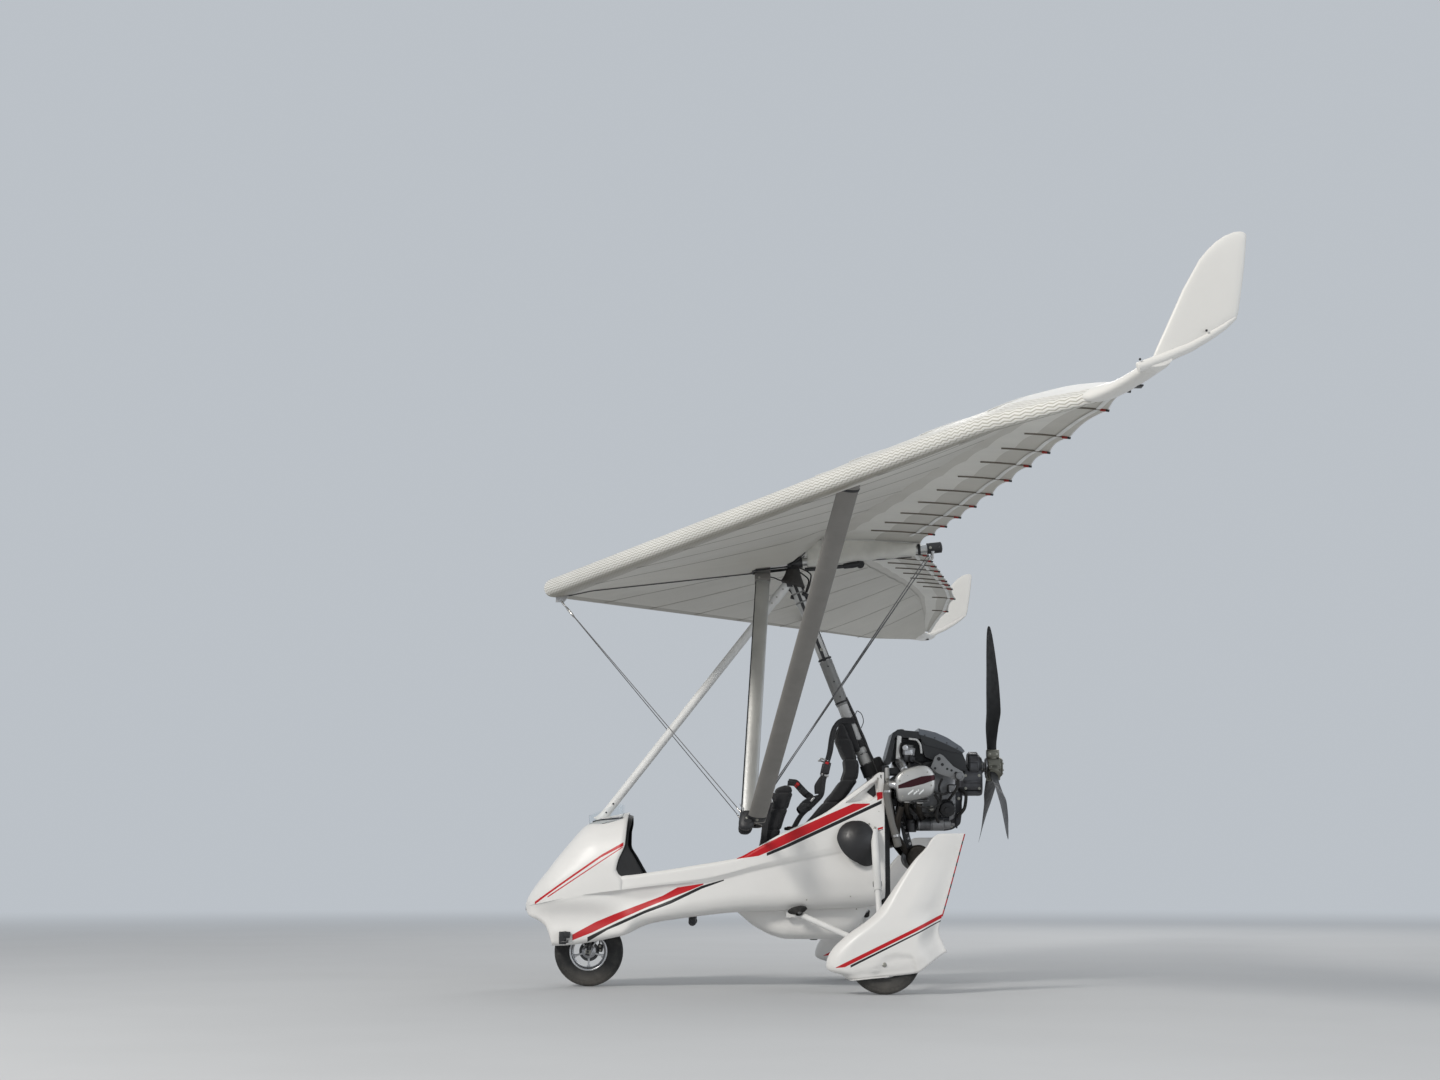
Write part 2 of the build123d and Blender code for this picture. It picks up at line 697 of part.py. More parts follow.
# Side of the air box: the hood from its foot in front over the top to the rear, and the window under it
airbox_side = [(512, 1280), (535, 1367), (562, 1460), (592, 1478), (711, 1467), (800, 1446), (877, 1411), (960, 1356),
               (984, 1298), (990, 1240), (860, 1240), (860, 1298), (800, 1298), (751, 1320), (728, 1385), (728, 1423),
               (574, 1436), (566, 1400), (548, 1280)]
airbox_spine = [(560, 1298), (800, 1298), (760, 1440), (590, 1460)]
# Side of the lid: its top, then its lower edge on the air box's side
lid_side_outline = [(712, 1487), (802, 1466), (881, 1430), (960, 1378), (980, 1352), (965, 1338), (882, 1354),
                    (752, 1390), (728, 1420), (714, 1458)]


def make_airbox():
    """The air box on top of the engine, rounded along its upper edges."""
    box = side_slab(polygon(airbox_side), -airbox_half, airbox_half)
    return box + side_slab(polygon(airbox_spine), -spine_half, spine_half)


def make_airbox_lid():
    """The grey lid that caps the air box's rear slope and laps down over both its sides."""
    reach = airbox_half + lid_side
    lid = side_slab(polygon(lid_side_outline), -reach, reach)
    lid = fillet(lid.faces().sort_by(Axis.Z)[-1].edges().filter_by(Axis.X, reverse=True).group_by(Axis.Y)[0], lid_edge)
    return lid


def make_gearbox():
    """The reduction gearbox: a bevelled drum round the propeller's shaft on a rounded lower case."""
    x0, x1 = case_x[1], gearbox_rear_x
    low = extrude(cross_plane(x0) * (Pos(0, gearbox_low_z) * RectangleRounded(*gearbox_low_size, 55)), x1 - x0)
    low = fillet(low.faces().sort_by(Axis.X)[-1].edges(), 12)
    r = gearbox_radius
    drum = polygon([(gearbox_step_x, 0), (gearbox_step_x, r - 7), (gearbox_step_x + 7, r), (x1 - 26, r), (x1, r - 26),
                    (x1, 0)])
    high = Pos(0, 0, propeller_z) * revolve(Plane.XZ * drum, Axis.X)
    bore = rod((x0 + 20, 0, propeller_z), (x1 + 10, 0, propeller_z), shaft_radius + shaft_clearance)
    return low + high - bore


def make_exhaust():
    """A pipe down from each head into a silencer across the back of the frame."""
    x, z = silencer_place
    wide, bore = silencer_half, silencer_half - silencer_wall
    pieces = rod((x, -wide, z), (x, wide, z), silencer_radius)
    pieces = fillet(pieces.edges(), 20) - rod((x, -bore + 18, z), (x, bore - 18, z), silencer_radius - silencer_wall)
    for side in (-1, 1):
        points = [(600, side * 345, 1040), (575, side * 330, 960), (570, side * 290, 860), (640, side * 190, 760),
                  (x, side * 190, z + 5)]
        path = FilletPolyline(*points, radius=pipe_bend)
        start = Plane(origin=points[0], z_dir=Vector(*points[1]) - Vector(*points[0]))
        pieces = pieces + sweep(start * Circle(pipe_radius), path)
    return pieces


def make_hub():
    """The propeller's hub and shaft."""
    x0 = propeller_x - hub_length / 2
    hub = rod((x0, 0, propeller_z), (x0 + hub_length, 0, propeller_z), hub_radius)
    hub = fillet(hub.edges(), 6)
    return hub + rod((case_x[1] + 46, 0, propeller_z), (x0 + 5, 0, propeller_z), shaft_radius)


# Blade sections. Columns: radius, chord, thickness, angle to the disc, distance aft of the hub's middle
blade_rows = [(hub_radius - 12, 60.0, 46.0, 55.0, -6.0), (118.0, 66.0, 34.0, 50.0, -9.0), (226.0, 100.0, 25.0, 41.0, -5.0),
              (330.0, 134.0, 18.0, 34.0, -2.0), (496.0, 144.0, 13.0, 25.5, -8.0), (631.0, 134.0, 10.0, 19.5, -16.0),
              (766.0, 92.0, 7.0, 16.5, -24.0), (propeller_radius - 14, 56.0, 5.0, 15.5, -27.0),
              (propeller_radius, 22.0, 4.0, 15.0, -28.0)]


def make_blade():
    """One twisted blade, standing straight up: broad in its middle, with a nearly straight front edge."""
    sections = []
    for radius, chord, thick, angle, aft in blade_rows:
        turn = math.radians(angle)
        chord_dir = Vector(math.sin(turn), -math.cos(turn), 0)
        place = Plane(origin=(propeller_x + aft, 0, propeller_z + radius), x_dir=chord_dir, z_dir=(0, 0, 1))
        sections.append(lens(place, chord, thick))
    return loft(sections, ruled=True)


# Rear suspension and spats
spat_front = (137, 149)
# Side outline of the spat and its fin, from its nose over the top: a step of two points is an arc
spat_side = [[(150, 205), (212, 284)], [(310, 360), (420, 452)], [(485, 530), (545, 615)], [(724, 841)],
             [(752, 861), (790, 866)], [(902, 870)], [(751, 351)], [(796, 228)], [(720, 176), (627, 118)],
             [(261, 77)], [(215, 92), (162, 124)]]
rear_hub = Vector(rear_axle_x, wheel_y, tyre_radius)


def make_right_spat():
    """A starboard wheel spat that rises into a tail fin, hollow round the wheel and open below."""
    half = spat_half_width
    side = side_slab(closed(spat_front, *spat_side), wheel_y - half, wheel_y + half)
    front = closed((-half, 60), [(-half, 330)], [(-45, 480), (-18, 640)], [(-11, 900)], [(11, 900)], [(18, 640)],
                   [(45, 480), (half, 330)], [(half, 60)])
    front = extrude(Plane(origin=(100, wheel_y, 0), x_dir=(0, 1, 0), z_dir=(1, 0, 0)) * front, 850)
    plan = closed((110, -20), [(190, -62), (300, -half)], [(600, -half)], [(770, -45), (910, -12)], [(910, 12)],
                  [(770, 45), (600, half)], [(300, half)], [(190, 62), (110, 20)])
    plan = extrude(Plane(origin=(0, wheel_y, 60)) * plan, 860)
    spat = side & front & plan
    inner = half - spat_wall
    well = rod((rear_axle_x, wheel_y - inner, tyre_radius), (rear_axle_x, wheel_y + inner, tyre_radius),
               tyre_radius + spat_gap)
    axle_hole = rod((rear_axle_x, 0, tyre_radius), (rear_axle_x, wheel_y, tyre_radius), axle_radius + seat_clearance)
    return biggest(spat - well - axle_hole)


def make_right_arm():
    """A starboard suspension arm: a cross tube and a radius arm that meet at the axle carrier."""
    carrier_y = wheel_y - spat_half_width
    hub = Vector(rear_axle_x, stub_inner_y, tyre_radius)
    carrier = block(rear_axle_x - 32, rear_axle_x + 32, carrier_y - 34, carrier_y, tyre_radius - 32, tyre_radius + 70)
    inner = Vector(pod_rear_x + 20, engine_post_y + engine_post_size / 2 - 4, engine_post_bottom + 25)
    arm = carrier + rod(inner, hub + Vector(0, 6, 20), arm_radius + 4)
    arm = arm + rod((-35, 225, 438), hub + Vector(-10, 8, 30), arm_radius)
    arm = arm + block(-65, -5, 205, 245, 400, 470)
    arm = trim(arm, outer["engine_frame"], tub_outer)
    stub = rod((rear_axle_x, carrier_y - 10, tyre_radius), (rear_axle_x, wheel_y + 62, tyre_radius), axle_radius)
    return arm + stub


def make_right_shock():
    """A starboard spring strut from the pod's side down to the axle carrier."""
    low, high = shock_foot, shock_top
    middle = low + (high - low) * 0.45
    strut = rod(low, middle, shock_radius) + rod(middle, high, shock_radius + shock_step)
    return trim(strut, outer["suspension_arms"], outer["cockpit_sides"])


def make_strut_cover():
    """A domed starboard cover over the spring strut's top mounting."""
    base, height = 150.0, 78.0
    ball = (base ** 2 + height ** 2) / (2 * height)
    centre = Location((345, pod_half_width + height - ball, 815))
    outline = closed((225, 840), [(262, 925), (335, 947)], [(405, 925), (432, 857)], [(430, 700)],
                     [(395, 690), (341, 709)], [(262, 765), (225, 840)])
    inside = Pos(335, 820) * scale(Pos(-335, -820) * outline, 0.94)
    dome = centre * Sphere(ball) & side_slab(outline, pod_half_width, pod_half_width + 300)
    dome = dome - (centre * Sphere(ball - 5) & side_slab(inside, pod_half_width - 1, pod_half_width + 300))
    room = rod(shock_foot, shock_top + (shock_top - shock_foot).normalized() * 30, shock_radius + shock_step + 2)
    return biggest(dome - room)


# Seats: outlines in x and z
front_cushion = [(-700, 590), (-262, 590), (-262, 668), (-600, 672), (-690, 650)]
front_back = [(-262, 600), (-187, 910), (-110, 1147), (-58, 1180), (0, 1160), (-95, 910), (-172, 600)]
rear_cushion = [(-112, 812), (60, 812), (60, 880), (-95, 880)]
rear_back = [(60, 812), (48, 935), (200, 1104), (262, 1180), (290, 1253), (276, 1320), (240, 1400), (222, 1451),
             (240, 1520), (268, 1539), (332, 1408), (372, 1265), (364, 1190), (315, 1117), (140, 900), (130, 812)]
front_cushion_half, front_back_half = 185.0, 190.0
rear_cushion_half, rear_back_half = 180.0, 200.0
pan_half, pan_thickness = 190.0, 10.0
pan_line = [(-720, 585), (-167, 585), (-125, 807), (150, 807), (200, 900)]


def make_seat_pan():
    """The folded pan that both seats stand on, with its feet on the keel beam."""
    bent = side_slab(trace(Polyline(*pan_line), pan_thickness), -pan_half, pan_half)
    top = keel_beam_z + keel_beam_size / 2
    feet = block(-600, -560, -40, 40, top, 582) + block(-240, -200, -40, 40, top, 582)
    feet = feet + block(60, 100, -40, 40, top, 804)
    return bent + feet


belly_side = [(-344, 424), (-245, 344), (-133, 289), (-58, 270), (166, 270), (300, 300), (400, 380)]


def make_belly():
    """The fairing below the pod's floor."""
    shape = polygon(belly_side + [(400, 520), (-344, 520)])
    body = side_slab(shape, -200, 200)
    body = fillet(body.edges().filter_by(Axis.Y).sort_by(Axis.Z)[1:4], 30)
    return trim(body, tub_outer)


def make_windscreen():
    """A small clear screen on the cowl, curved round the front strut's foot."""
    band = trace(ThreePointArc((-1010, -120), (-1215, 0), (-1010, 120)), 4)
    screen = extrude(Plane(origin=(0, 0, 860)) * band, 190)
    lid = polygon([(-1300, 960), (-1215, 985), (-1000, 1062), (-1000, 1300), (-1300, 1300)])
    screen = screen - side_slab(lid, -300, 300) - cowl_outer
    return biggest(screen - rod(front_strut_low, front_strut_high, front_strut_radius + 3))


def make_panel():
    """The instrument panel across the cowl's rear opening."""
    shape = polygon([(-1036, 800), (-1018, 800), (-1004, 860), (-1004, 955), (-1018, 955), (-1020, 860)])
    slab = side_slab(shape, -pod_half_width, pod_half_width)
    return biggest(slab & cowl_body(pod_wall))


def make_bulkhead():
    """The wall across the back of the pod, notched for the mast and the keel beam."""
    x0 = pod_rear_x - 15 - bulkhead_thickness
    half = pod_half_width - pod_wall
    wall = block(x0, x0 + bulkhead_thickness, -half, half, 300, 1210)
    low = wall & tub_inner & tub_below
    high = wall & side_slab(polygon([(300, 820), (560, 820), (560, 1210), (300, 1210)]), -half, half)
    whole = low + high + (wall & block(300, 560, -half + 10, half - 10, 700, 830))
    beam = keel_beam_size / 2
    whole = whole - block(300, 560, -beam, beam, 300, keel_beam_z + beam)
    return biggest(whole - block(300, 560, -mast_radius - 12, mast_radius + 12, mast_foot[1] - 60, 1300))


def main():
    """Build every piece and write it."""
    os.makedirs("parts", exist_ok=True)
    for name, x, y in wheel_places:
        centre = (x, y, tyre_radius)
        save(f"{name}_tyre", make_tyre(centre))
        save(f"{name}_rim", make_rim(centre))
    save("pod_tub", make_tub())
    save("nose_cowl", make_cowl())
    save_pair("cockpit_sides", make_side_panel())
    save("rear_bulkhead", make_bulkhead())
    save("belly_fairing", make_belly())
    save("instrument_panel", make_panel())
    save("windscreen", make_windscreen())
    save("keel_beam", make_keel_beam())
    save("seat_pan", make_seat_pan())
    mast_room = rod(along_mast(0), along_mast(mast_length), mast_radius + 15)
    for name, side, half in (("front_seat_cushion", front_cushion, front_cushion_half),
                             ("front_seat_back", front_back, front_back_half),
                             ("rear_seat_back", rear_back, rear_back_half)):
        save(name, trim(side_slab(polygon(side), -half, half), outer["seat_pan"], mast_room))
    cushion = side_slab(polygon(rear_cushion), -rear_cushion_half, rear_cushion_half)
    save("rear_seat_cushion", trim(cushion, outer["rear_seat_back"]))
    save("engine_frame", make_engine_frame())
    save("mast", make_mast())
    save("mast_sleeve", rod(along_mast(500), along_mast(780), mast_radius + 6, mast_radius + seat_clearance))
    front_strut = rod(front_strut_high, front_strut_low, front_strut_radius, front_strut_radius - 3)
    save("front_strut", trim(front_strut, outer["keel_beam"]))
    save("mast_head", make_mast_head())
    save_pair("suspension_arms", make_right_arm())
    save("right_spat", make_right_spat())
    save("left_spat", mirrored(outer["right_spat"]))
    save_pair("spring_struts", make_right_shock())
    save_pair("strut_covers", make_strut_cover())
    save("crankcase", make_crankcase())
    save_pair("cylinders", make_cylinder())
    save_pair("head_covers", make_head_cover())
    save("gearbox", make_gearbox())
    airbox = trim(make_airbox(), outer["crankcase"], outer["gearbox"])
    save("airbox", airbox)
    save("airbox_lid", trim(make_airbox_lid(), airbox))
    save("exhaust", trim(make_exhaust(), outer["head_covers"]))
    save("front_fork", make_fork())
    save("foot_bar", make_foot_bar())
    save("propeller_hub", make_hub())
    blade = trim(make_blade(), outer["propeller_hub"])
    spin = Axis((propeller_x, 0, propeller_z), (1, 0, 0))
    save("propeller_blades", Compound([blade.rotate(spin, 360 / blade_count * turn) for turn in range(blade_count)]))
    save("hang_block", make_hang_block())
    save("keel_tube", rod((keel_front_x, 0, keel_z(keel_front_x)), (keel_rear_x, 0, keel_z(keel_rear_x)),
                          keel_radius, keel_radius - 3))
    save("keel_end", make_keel_end())
    save("nose_plate", make_nose_plate())
    save("right_sail", make_right_sail())
    save("left_sail", mirrored(outer["right_sail"]))
    save_pair("winglets", make_right_winglet())
    save("apex_bracket", make_apex_bracket())
    knobs = make_knobs()
    save("corner_fittings", Compound(knobs))
    reach = Vector(0, base_bar_half - knob_length / 2, 0)
    middle = Vector(base_bar_x, 0, base_bar_z)
    save("base_bar", rod(middle - reach, middle + reach, base_bar_radius, base_bar_radius - 3))
    apex = Vector(apex_x, 26, keel_z(apex_x) - keel_radius - 40)
    sail, bracket, knob = outer["right_sail"], outer["apex_bracket"], knobs[1]
    upright = trim(blade_bar(apex, corner, upright_chord, upright_thickness, strut_wall), bracket, knob)
    save_pair("uprights", upright)
    top_x, top_y = lift_strut_top
    strut_foot = corner + Vector(lift_strut_set_back, 0, 0)
    strut = blade_bar(strut_foot, (top_x, top_y, keel_z(top_x)), lift_strut_chord, lift_strut_thickness, strut_wall)
    strut = trim(strut, knob, upright, sail)
    save_pair("lift_struts", strut)
    front_stay = trim(rod(nose_eye, corner, stay_radius), knob, upright, outer["nose_plate"])
    tail = Vector(keel_rear_x - 20, 10, keel_z(keel_rear_x) - keel_radius)
    rear_stay = trim(rod(tail, corner, stay_radius), knob, upright, strut, outer["keel_end"])
    save("stays", Compound([front_stay, mirrored(front_stay), rear_stay, mirrored(rear_stay)]))


main()
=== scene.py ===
import math
import random

import bmesh
import bpy
import numpy as np
from mathutils import Matrix, Vector


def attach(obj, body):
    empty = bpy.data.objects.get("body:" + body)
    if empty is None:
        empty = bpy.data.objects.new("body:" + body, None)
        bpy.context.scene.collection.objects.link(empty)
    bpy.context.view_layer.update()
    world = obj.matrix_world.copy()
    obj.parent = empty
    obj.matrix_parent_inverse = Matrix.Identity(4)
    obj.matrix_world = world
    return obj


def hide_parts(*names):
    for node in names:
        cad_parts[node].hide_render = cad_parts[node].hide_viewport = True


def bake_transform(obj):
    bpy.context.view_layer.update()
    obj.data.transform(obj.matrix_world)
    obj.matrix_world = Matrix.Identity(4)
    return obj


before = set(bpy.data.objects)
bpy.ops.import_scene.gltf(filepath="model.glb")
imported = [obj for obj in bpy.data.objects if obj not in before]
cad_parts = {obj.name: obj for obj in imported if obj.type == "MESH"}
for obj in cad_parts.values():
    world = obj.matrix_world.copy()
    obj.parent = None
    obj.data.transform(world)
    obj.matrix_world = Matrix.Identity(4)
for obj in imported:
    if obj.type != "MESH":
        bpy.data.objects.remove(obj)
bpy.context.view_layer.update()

# Two-seat weight-shift ultralight. Metres, in the frame of the CAD model: +X aft, +Y to starboard, +Z up.
# The origin is on the ground below the hang point. Places in the side view are pairs of x and z.

CAMERA_PLACE = (-0.352, -13.2, 0.68)
CAMERA_PITCH, CAMERA_YAW = 8.367, 0.407
CAMERA_LENS = 55.75

TYRE_RADIUS = 0.2
FRONT_HUB = Vector((-1.21, 0, TYRE_RADIUS))
REAR_X, WHEEL_Y = 0.455, 0.85
RAKE = math.radians(12)
STEER = Vector((math.sin(RAKE), 0, math.cos(RAKE)))

HANG = Vector((0, 0, 2.36))
KEEL_HEIGHT, KEEL_SLOPE = 2.482, 0.108
MAST_FOOT = Vector((0.515, 0, 1.03))
STRUT_FOOT = Vector((-1.395, 0, 0.645))
STRUT_HEAD = Vector((-0.04, 0, 2.36))
CORNER = Vector((-0.285, 0.78, 0.94))
UPRIGHT_HEAD = Vector((-0.19, 0.022, 2.43))
LIFT_FOOT = Vector((-0.240, 0.78, 0.94))
LIFT_TOP = Vector((0.195, 2.85, 2.503))
PROPELLER = Vector((1.165, 0, 1.268))
SIDES = (-1, 1)
AFT, STARBOARD, UP = (1, 0, 0), (0, 1, 0), (0, 0, 1)


def keel_z(x):
    """Height of the keel line."""
    return KEEL_HEIGHT + KEEL_SLOPE * x


def spread(count, start=0.0, end=1.0):
    """Equal steps from start to end."""
    return np.linspace(start, end, count)


def turns(count):
    """Angles at equal steps round a circle."""
    return spread(count + 1, 0, 2 * math.pi)[:-1]


def smooth_table(rows, x):
    """Read a table at x with a curve that has no overshoot. Each row is a place and its values."""
    rows = np.asarray(rows, float)
    places, values = rows[:, 0], rows[:, 1:]
    slope = np.diff(values, axis=0) / np.diff(places)[:, None]
    bend = np.zeros_like(values)
    same = slope[:-1] * slope[1:] > 0
    both = np.where(same, slope[:-1] + slope[1:], 1.0)
    bend[1:-1] = np.where(same, 2 * slope[:-1] * slope[1:] / both, 0.0)
    bend[0], bend[-1] = slope[0], slope[-1]
    x = min(max(x, places[0]), places[-1])
    i = min(int(np.searchsorted(places, x, side="right")) - 1, len(places) - 2)
    h = places[i + 1] - places[i]
    t = (x - places[i]) / h
    return ((2 * t ** 3 - 3 * t ** 2 + 1) * values[i] + (t ** 3 - 2 * t ** 2 + t) * h * bend[i]
            + (3 * t ** 2 - 2 * t ** 3) * values[i + 1] + (t ** 3 - t ** 2) * h * bend[i + 1])


def reading(rows, x):
    """Read a table that has one value a row."""
    return float(smooth_table(rows, x)[0])


def along_line(points, share):
    """A place on a smooth line through points, at a share of its length."""
    run = [0.0]
    for a, b in zip(points, points[1:]):
        run.append(run[-1] + math.dist(a, b))
    return smooth_table([(s / run[-1], *p) for s, p in zip(run, points)], share)


def ease(low, high, x):
    """0 below low, 1 above high, and smooth between."""
    t = np.clip((x - low) / (high - low), 0, 1)
    return t * t * (3 - 2 * t)


# Materials: each is a node graph in the object's own coordinates

class Paint:
    """One material's node graph, with short calls for the nodes that it uses."""

    def __init__(self, name, colour, rough=0.5, metal=0.0, **constants):
        self.material = bpy.data.materials.new(name)
        self.material.use_nodes = True
        self.tree = self.material.node_tree
        self.shader = self.tree.nodes["Principled BSDF"]
        self.place = self.node("TexCoord").outputs["Object"]
        self.shader.inputs["Metallic"].default_value = metal
        self.colour = (*colour, 1.0)
        self.rough = rough
        self.height = None
        for socket, value in constants.items():
            self.shader.inputs[socket.replace("_", " ")].default_value = value

    def node(self, kind, inputs=None, **settings):
        made = self.tree.nodes.new("ShaderNode" + kind)
        for key, value in settings.items():
            setattr(made, key, value)
        for key, value in (inputs or {}).items():
            self.feed(made.inputs[key], value)
        return made

    def feed(self, socket, value):
        if isinstance(value, bpy.types.NodeSocket):
            self.tree.links.new(value, socket)
        else:
            socket.default_value = value

    def math(self, operation, a, b=0.0, c=0.0):
        return self.node("Math", {0: a, 1: b, 2: c}, operation=operation).outputs[0]

    def times(self, a, b):
        return self.math("MULTIPLY", a, b)

    def less(self, a, b):
        return self.math("SUBTRACT", a, b)

    def part(self, axis):
        """One coordinate of the place."""
        return self.node("SeparateXYZ", {0: self.place}).outputs[axis]

    def ramp(self, value, low, high, start=0.0, end=1.0):
        return self.node("MapRange", {0: value, 1: low, 2: high, 3: start, 4: end},
                         interpolation_type="SMOOTHSTEP").outputs[0]

    def noise(self, scale, detail=3.0, stretch=None):
        place = self.place
        if stretch:
            place = self.node("Mapping", {"Vector": place, "Scale": stretch}).outputs[0]
        return self.node("TexNoise", {"Vector": place, "Scale": scale, "Detail": detail,
                                      "Roughness": 0.55}).outputs["Fac"]

    def threads(self, scale, direction, depth):
        """Raise parallel threads."""
        wave = self.node("TexWave", {"Vector": self.place, "Scale": scale, "Distortion": 0.0, "Detail": 2.0},
                         bands_direction=direction).outputs["Fac"]
        self.raise_by(self.times(wave, depth))

    def mixed(self, share, a, b, **settings):
        made = self.node("Mix", data_type="RGBA", **settings)
        for index, value in ((0, share), (6, a), (7, b)):
            self.feed(made.inputs[index], value)
        return made.outputs[2]

    def tint(self, share, colour):
        """Lay another colour over the one so far."""
        self.colour = self.mixed(share, self.colour, (*colour, 1.0))

    def vary(self, scale, amount, stretch=None):
        """Darken and lighten the colour a little, in soft patches."""
        shade = self.ramp(self.noise(scale, stretch=stretch), 0.3, 0.7, 1 - amount, 1 + amount * 0.4)
        grey = self.node("CombineColor", {0: shade, 1: shade, 2: shade}).outputs[0]
        self.colour = self.mixed(1.0, self.colour, grey, blend_type="MULTIPLY")

    def uneven(self, scale, low, high, stretch=None):
        """Let the roughness wander between two values."""
        self.rough = self.ramp(self.noise(scale, 4.0, stretch), 0.3, 0.7, low, high)

    def raise_by(self, height):
        """Add a height map, in metres, to the bump."""
        self.height = height if self.height is None else self.math("ADD", self.height, height)

    def grain(self, scale, depth, detail=2.0, stretch=None):
        self.raise_by(self.times(self.noise(scale, detail, stretch), depth))

    def stained(self, scale, detail, start, end, amount, colour):
        """Lay a colour over in patches, where a noise lies above a level."""
        self.tint(self.ramp(self.noise(scale, detail), start, end, 0.0, amount), colour)

    def dirt(self, top, amount=0.25):
        """Road dust that gathers towards the ground."""
        low = self.ramp(self.part(2), 0.0, top, 1.0, 0.0)
        self.tint(self.times(self.times(low, self.noise(4.0, 3.0)), amount), (0.36, 0.33, 0.29))

    def line(self, points, low, high):
        """A broken line as a node: reads x and gives z. Points are (x, z), low and high its corners."""
        made = self.node("FloatCurve")
        curve = made.mapping.curves[0]
        spots = [((x - low[0]) / (high[0] - low[0]), (z - low[1]) / (high[1] - low[1])) for x, z in points]
        while len(curve.points) < len(spots):
            curve.points.new(0.5, 0.5)
        for spot, place in zip(curve.points, sorted(spots)):
            spot.location = place
            spot.handle_type = "VECTOR"
        made.mapping.update()
        across = self.math("DIVIDE", self.less(self.part(0), low[0]), high[0] - low[0])
        self.feed(made.inputs["Value"], across)
        return self.math("MULTIPLY_ADD", made.outputs[0], high[1] - low[1], low[1])

    def off_line(self, foot, head):
        """How far aft of a straight line in the side view a place lies."""
        lean = (head[0] - foot[0]) / (head[1] - foot[1])
        return self.less(self.part(0), self.math("MULTIPLY_ADD", self.part(2), lean,
                                                 foot[0] - lean * foot[1]))

    def band(self, upper, lower, soft=0.0012, spare=0.01):
        """1 between two broken lines in the side view, from where the first starts to where it ends."""
        xs, zs = zip(*upper, *lower)
        low, high = (min(xs) - spare, min(zs) - spare), (max(xs) + spare, max(zs) + spare)
        z, x = self.part(2), self.part(0)
        under = self.ramp(self.less(self.line(upper, low, high), z), -soft, soft)
        over = self.ramp(self.less(z, self.line(lower, low, high)), -soft, soft)
        start = self.ramp(x, low[0] + spare - soft, low[0] + spare + soft)
        end = self.ramp(x, high[0] - spare - soft, high[0] - spare + soft, 1.0, 0.0)
        return self.times(self.times(under, over), self.times(start, end))

    def done(self):
        self.feed(self.shader.inputs["Base Color"], self.colour)
        self.feed(self.shader.inputs["Roughness"], self.rough)
        if self.height is not None:
            bump = self.node("Bump", {"Height": self.height, "Distance": 1.0, "Strength": 1.0})
            self.feed(self.shader.inputs["Normal"], bump.outputs[0])
        return self.material


def gelcoat(name, bands=(), dust=0.0, colour=(0.79, 0.78, 0.76)):
    """Polished fibreglass with a faint orange peel, and painted bands."""
    paint = Paint(name, colour, 0.4, Coat_Weight=0.15, Coat_Roughness=0.25, IOR=1.42)
    paint.vary(2.3, 0.035)
    for shade, upper, lower in bands:
        paint.tint(paint.band(upper, lower), shade)
    paint.uneven(14.0, 0.34, 0.46)
    paint.grain(160.0, 0.00006)
    if dust:
        paint.dirt(dust)
    return paint.done()


def painted(name, colour, rough=0.32, dust=0.0, chips=0.0, coat=0.25):
    """Powder-coated metal."""
    paint = Paint(name, colour, rough, Coat_Weight=coat, Coat_Roughness=0.15)
    paint.vary(6.0, 0.06)
    if chips:
        paint.stained(38.0, 8.0, 0.66, 0.7, chips, (0.30, 0.29, 0.28))
    paint.uneven(22.0, rough * 0.8, rough * 1.3)
    if dust:
        paint.dirt(dust)
    return paint.done()


def metal(name, colour, rough=0.3, brushed=None, stain=0.0, grain=0.0):
    """Bare or anodised metal, brushed along an axis if one is given."""
    paint = Paint(name, colour, rough, 1.0)
    paint.vary(9.0, 0.12)
    if stain:
        paint.stained(12.0, 6.0, 0.5, 0.75, stain, (0.07, 0.05, 0.04))
    paint.uneven(30.0, rough * 0.75, rough * 1.35, brushed)
    if grain:
        paint.grain(300.0, grain, stretch=brushed)
    return paint.done()


def plastic(name, colour, rough=0.42, grain=900.0, depth=0.00006):
    """Moulded plastic or rubber with a fine grain."""
    paint = Paint(name, colour, rough)
    paint.vary(11.0, 0.15)
    paint.uneven(45.0, rough * 0.85, rough * 1.2)
    paint.grain(grain, depth, 1.0)
    return paint.done()


def woven(name, colour, scale, depth, rough=0.75, sheen=0.25):
    """Cloth or webbing: crossed sets of threads."""
    paint = Paint(name, colour, rough, Sheen_Weight=sheen, Sheen_Roughness=0.5)
    paint.vary(7.0, 0.12)
    for direction in "XYZ":
        paint.threads(scale, direction, depth)
    paint.grain(scale * 3, depth * 0.6)
    return paint.done()


